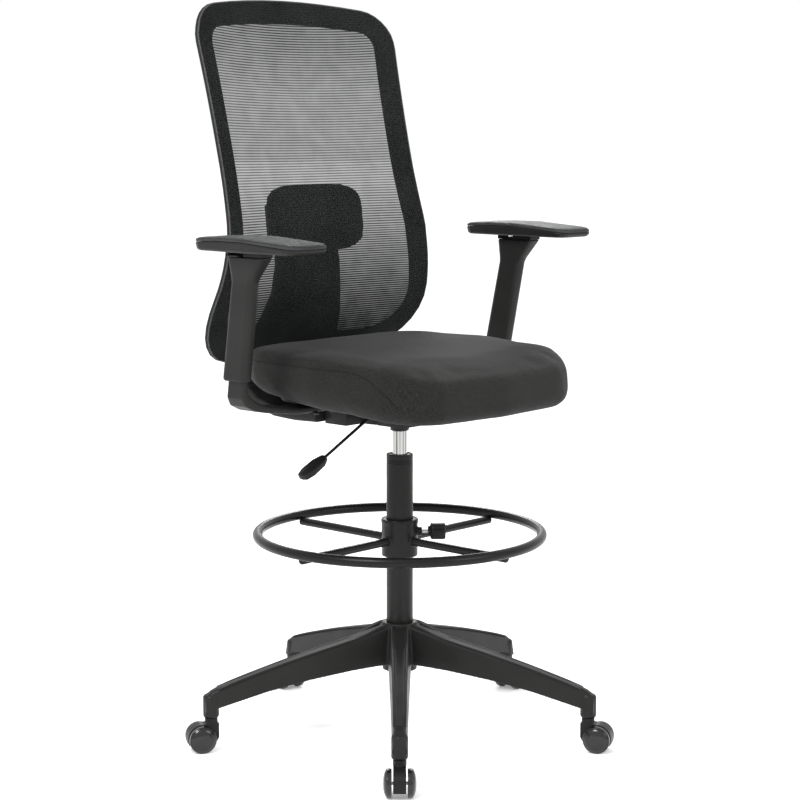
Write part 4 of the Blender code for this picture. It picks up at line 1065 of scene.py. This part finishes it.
def looks():
    """Every material of the chair, by a short name."""
    black = (0.009, 0.009, 0.009)
    return {
        "base_nylon": moulded_plastic("base_nylon", (0.014, 0.014, 0.0135), 0.36),
        "caster_nylon": moulded_plastic("caster_nylon", black, 0.36, 0.15),
        "wheel_nylon": gloss_nylon("wheel_nylon", black),
        "column_steel": powder_coat("column_steel", (0.011, 0.011, 0.0105), 0.36),
        "ring_steel": powder_coat("ring_steel", (0.008, 0.008, 0.008), 0.28),
        "plate_steel": powder_coat("plate_steel", (0.012, 0.012, 0.012), 0.42),
        "black_oxide": polished_metal("black_oxide", (0.030, 0.030, 0.030), 0.40),
        "acetal": moulded_plastic("acetal", (0.62, 0.62, 0.60), 0.40, 0.1),
        # Chrome, with painted reflection bands in its colour.
        "chrome": chrome_painted_reflections("chrome"),
        "zinc": polished_metal("zinc", (0.40, 0.40, 0.39), 0.34),
        "fine_nylon": moulded_plastic("fine_nylon", black, 0.45),
        "knob_nylon": moulded_plastic("knob_nylon", black, 0.40),
        "paddle_nylon": moulded_plastic("paddle_nylon", black, 0.36, 0.15),
        "rim_nylon": moulded_plastic("rim_nylon", (0.016, 0.016, 0.016), 0.70, 0.04),
        "post_nylon": moulded_plastic("post_nylon", (0.016, 0.016, 0.0155), 0.55),
        "arm_nylon": moulded_plastic("arm_nylon", (0.015, 0.015, 0.0145), 0.46, 0.18),
        "tray_nylon": moulded_plastic("tray_nylon", (0.013, 0.013, 0.0125), 0.38, 0.2),
        "pad_skin": soft_skin("pad_skin", (0.036, 0.037, 0.038)),
        "lumbar_skin": soft_skin("lumbar_skin", (0.022, 0.022, 0.021)),
        "seat_fabric": woven_fabric("seat_fabric", (0.0105, 0.0105, 0.0100), 0.0019),
        # Lighter grey than the rim: a painted highlight for the cord round the back's edge.
        "welt_painted_highlight": woven_fabric("welt_painted_highlight", (0.050, 0.050, 0.050), 0.0012),
        "thread": woven_fabric("thread", (0.004, 0.004, 0.004), 0.0012),
        "dust_cover": woven_fabric("dust_cover", black, 0.0014),
        "net": stretched_net("net", (0.018, 0.019, 0.019)),
        "floor": floor_paint("floor"),
    }


def area_light(name, where, target, size, power):
    data = bpy.data.lights.new(name, "AREA")
    data.shape = "DISK"
    data.size = size
    data.energy = power
    lamp = bpy.data.objects.new(name, data)
    bpy.context.scene.collection.objects.link(lamp)
    lamp.location = where
    lamp.rotation_euler = (Vector(target) - Vector(where)).to_track_quat("-Z", "Y").to_euler()


def studio():
    scene = bpy.context.scene
    world = bpy.data.worlds.new("studio")
    world.use_nodes = True
    world.node_tree.nodes["Background"].inputs["Color"].default_value = (1.0, 1.0, 1.0, 1.0)
    world.node_tree.nodes["Background"].inputs["Strength"].default_value = 1.0
    scene.world = world
    scene.view_settings.view_transform = "Standard"
    bm = bmesh.new()
    bmesh.ops.create_grid(bm, x_segments=8, y_segments=8, size=40.0)
    floor = from_bmesh(bm, "studio_floor", LOOKS["floor"])
    area_light("key", (-3.2, -0.6, 3.4), (0, 0, 0.8), 1.6, 120)
    area_light("front_fill", (0.6, -3.8, 2.2), (0, 0, 0.7), 2.0, 40)
    area_light("rear_rim", (2.6, 2.4, 2.6), (0, 0, 0.9), 1.4, 70)


def camera():
    data = bpy.data.cameras.new("camera")
    data.sensor_width = 36.0
    data.lens = CAMERA_LENS
    data.shift_x = 0.0004
    obj = bpy.data.objects.new("camera", data)
    bpy.context.scene.collection.objects.link(obj)
    away = Vector((-math.sin(CAMERA_YAW), -math.cos(CAMERA_YAW), 0)) * CAMERA_DISTANCE
    obj.location = (away.x, away.y, CAMERA_HEIGHT)
    obj.rotation_euler = (math.pi / 2 - CAMERA_PITCH, 0, -CAMERA_YAW)
    bpy.context.scene.camera = obj


def clear_scene():
    for obj in list(bpy.data.objects):
        bpy.data.objects.remove(obj)


clear_scene()
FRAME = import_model()
NODES = FRAME["nodes"]
LOOKS = looks()
camera()
base()
casters()
column()
foot_ring()
clamp()
mechanism()
lever()
seat()
back_rim()
back_net()
back_post()
lumbar()
arms()
studio()
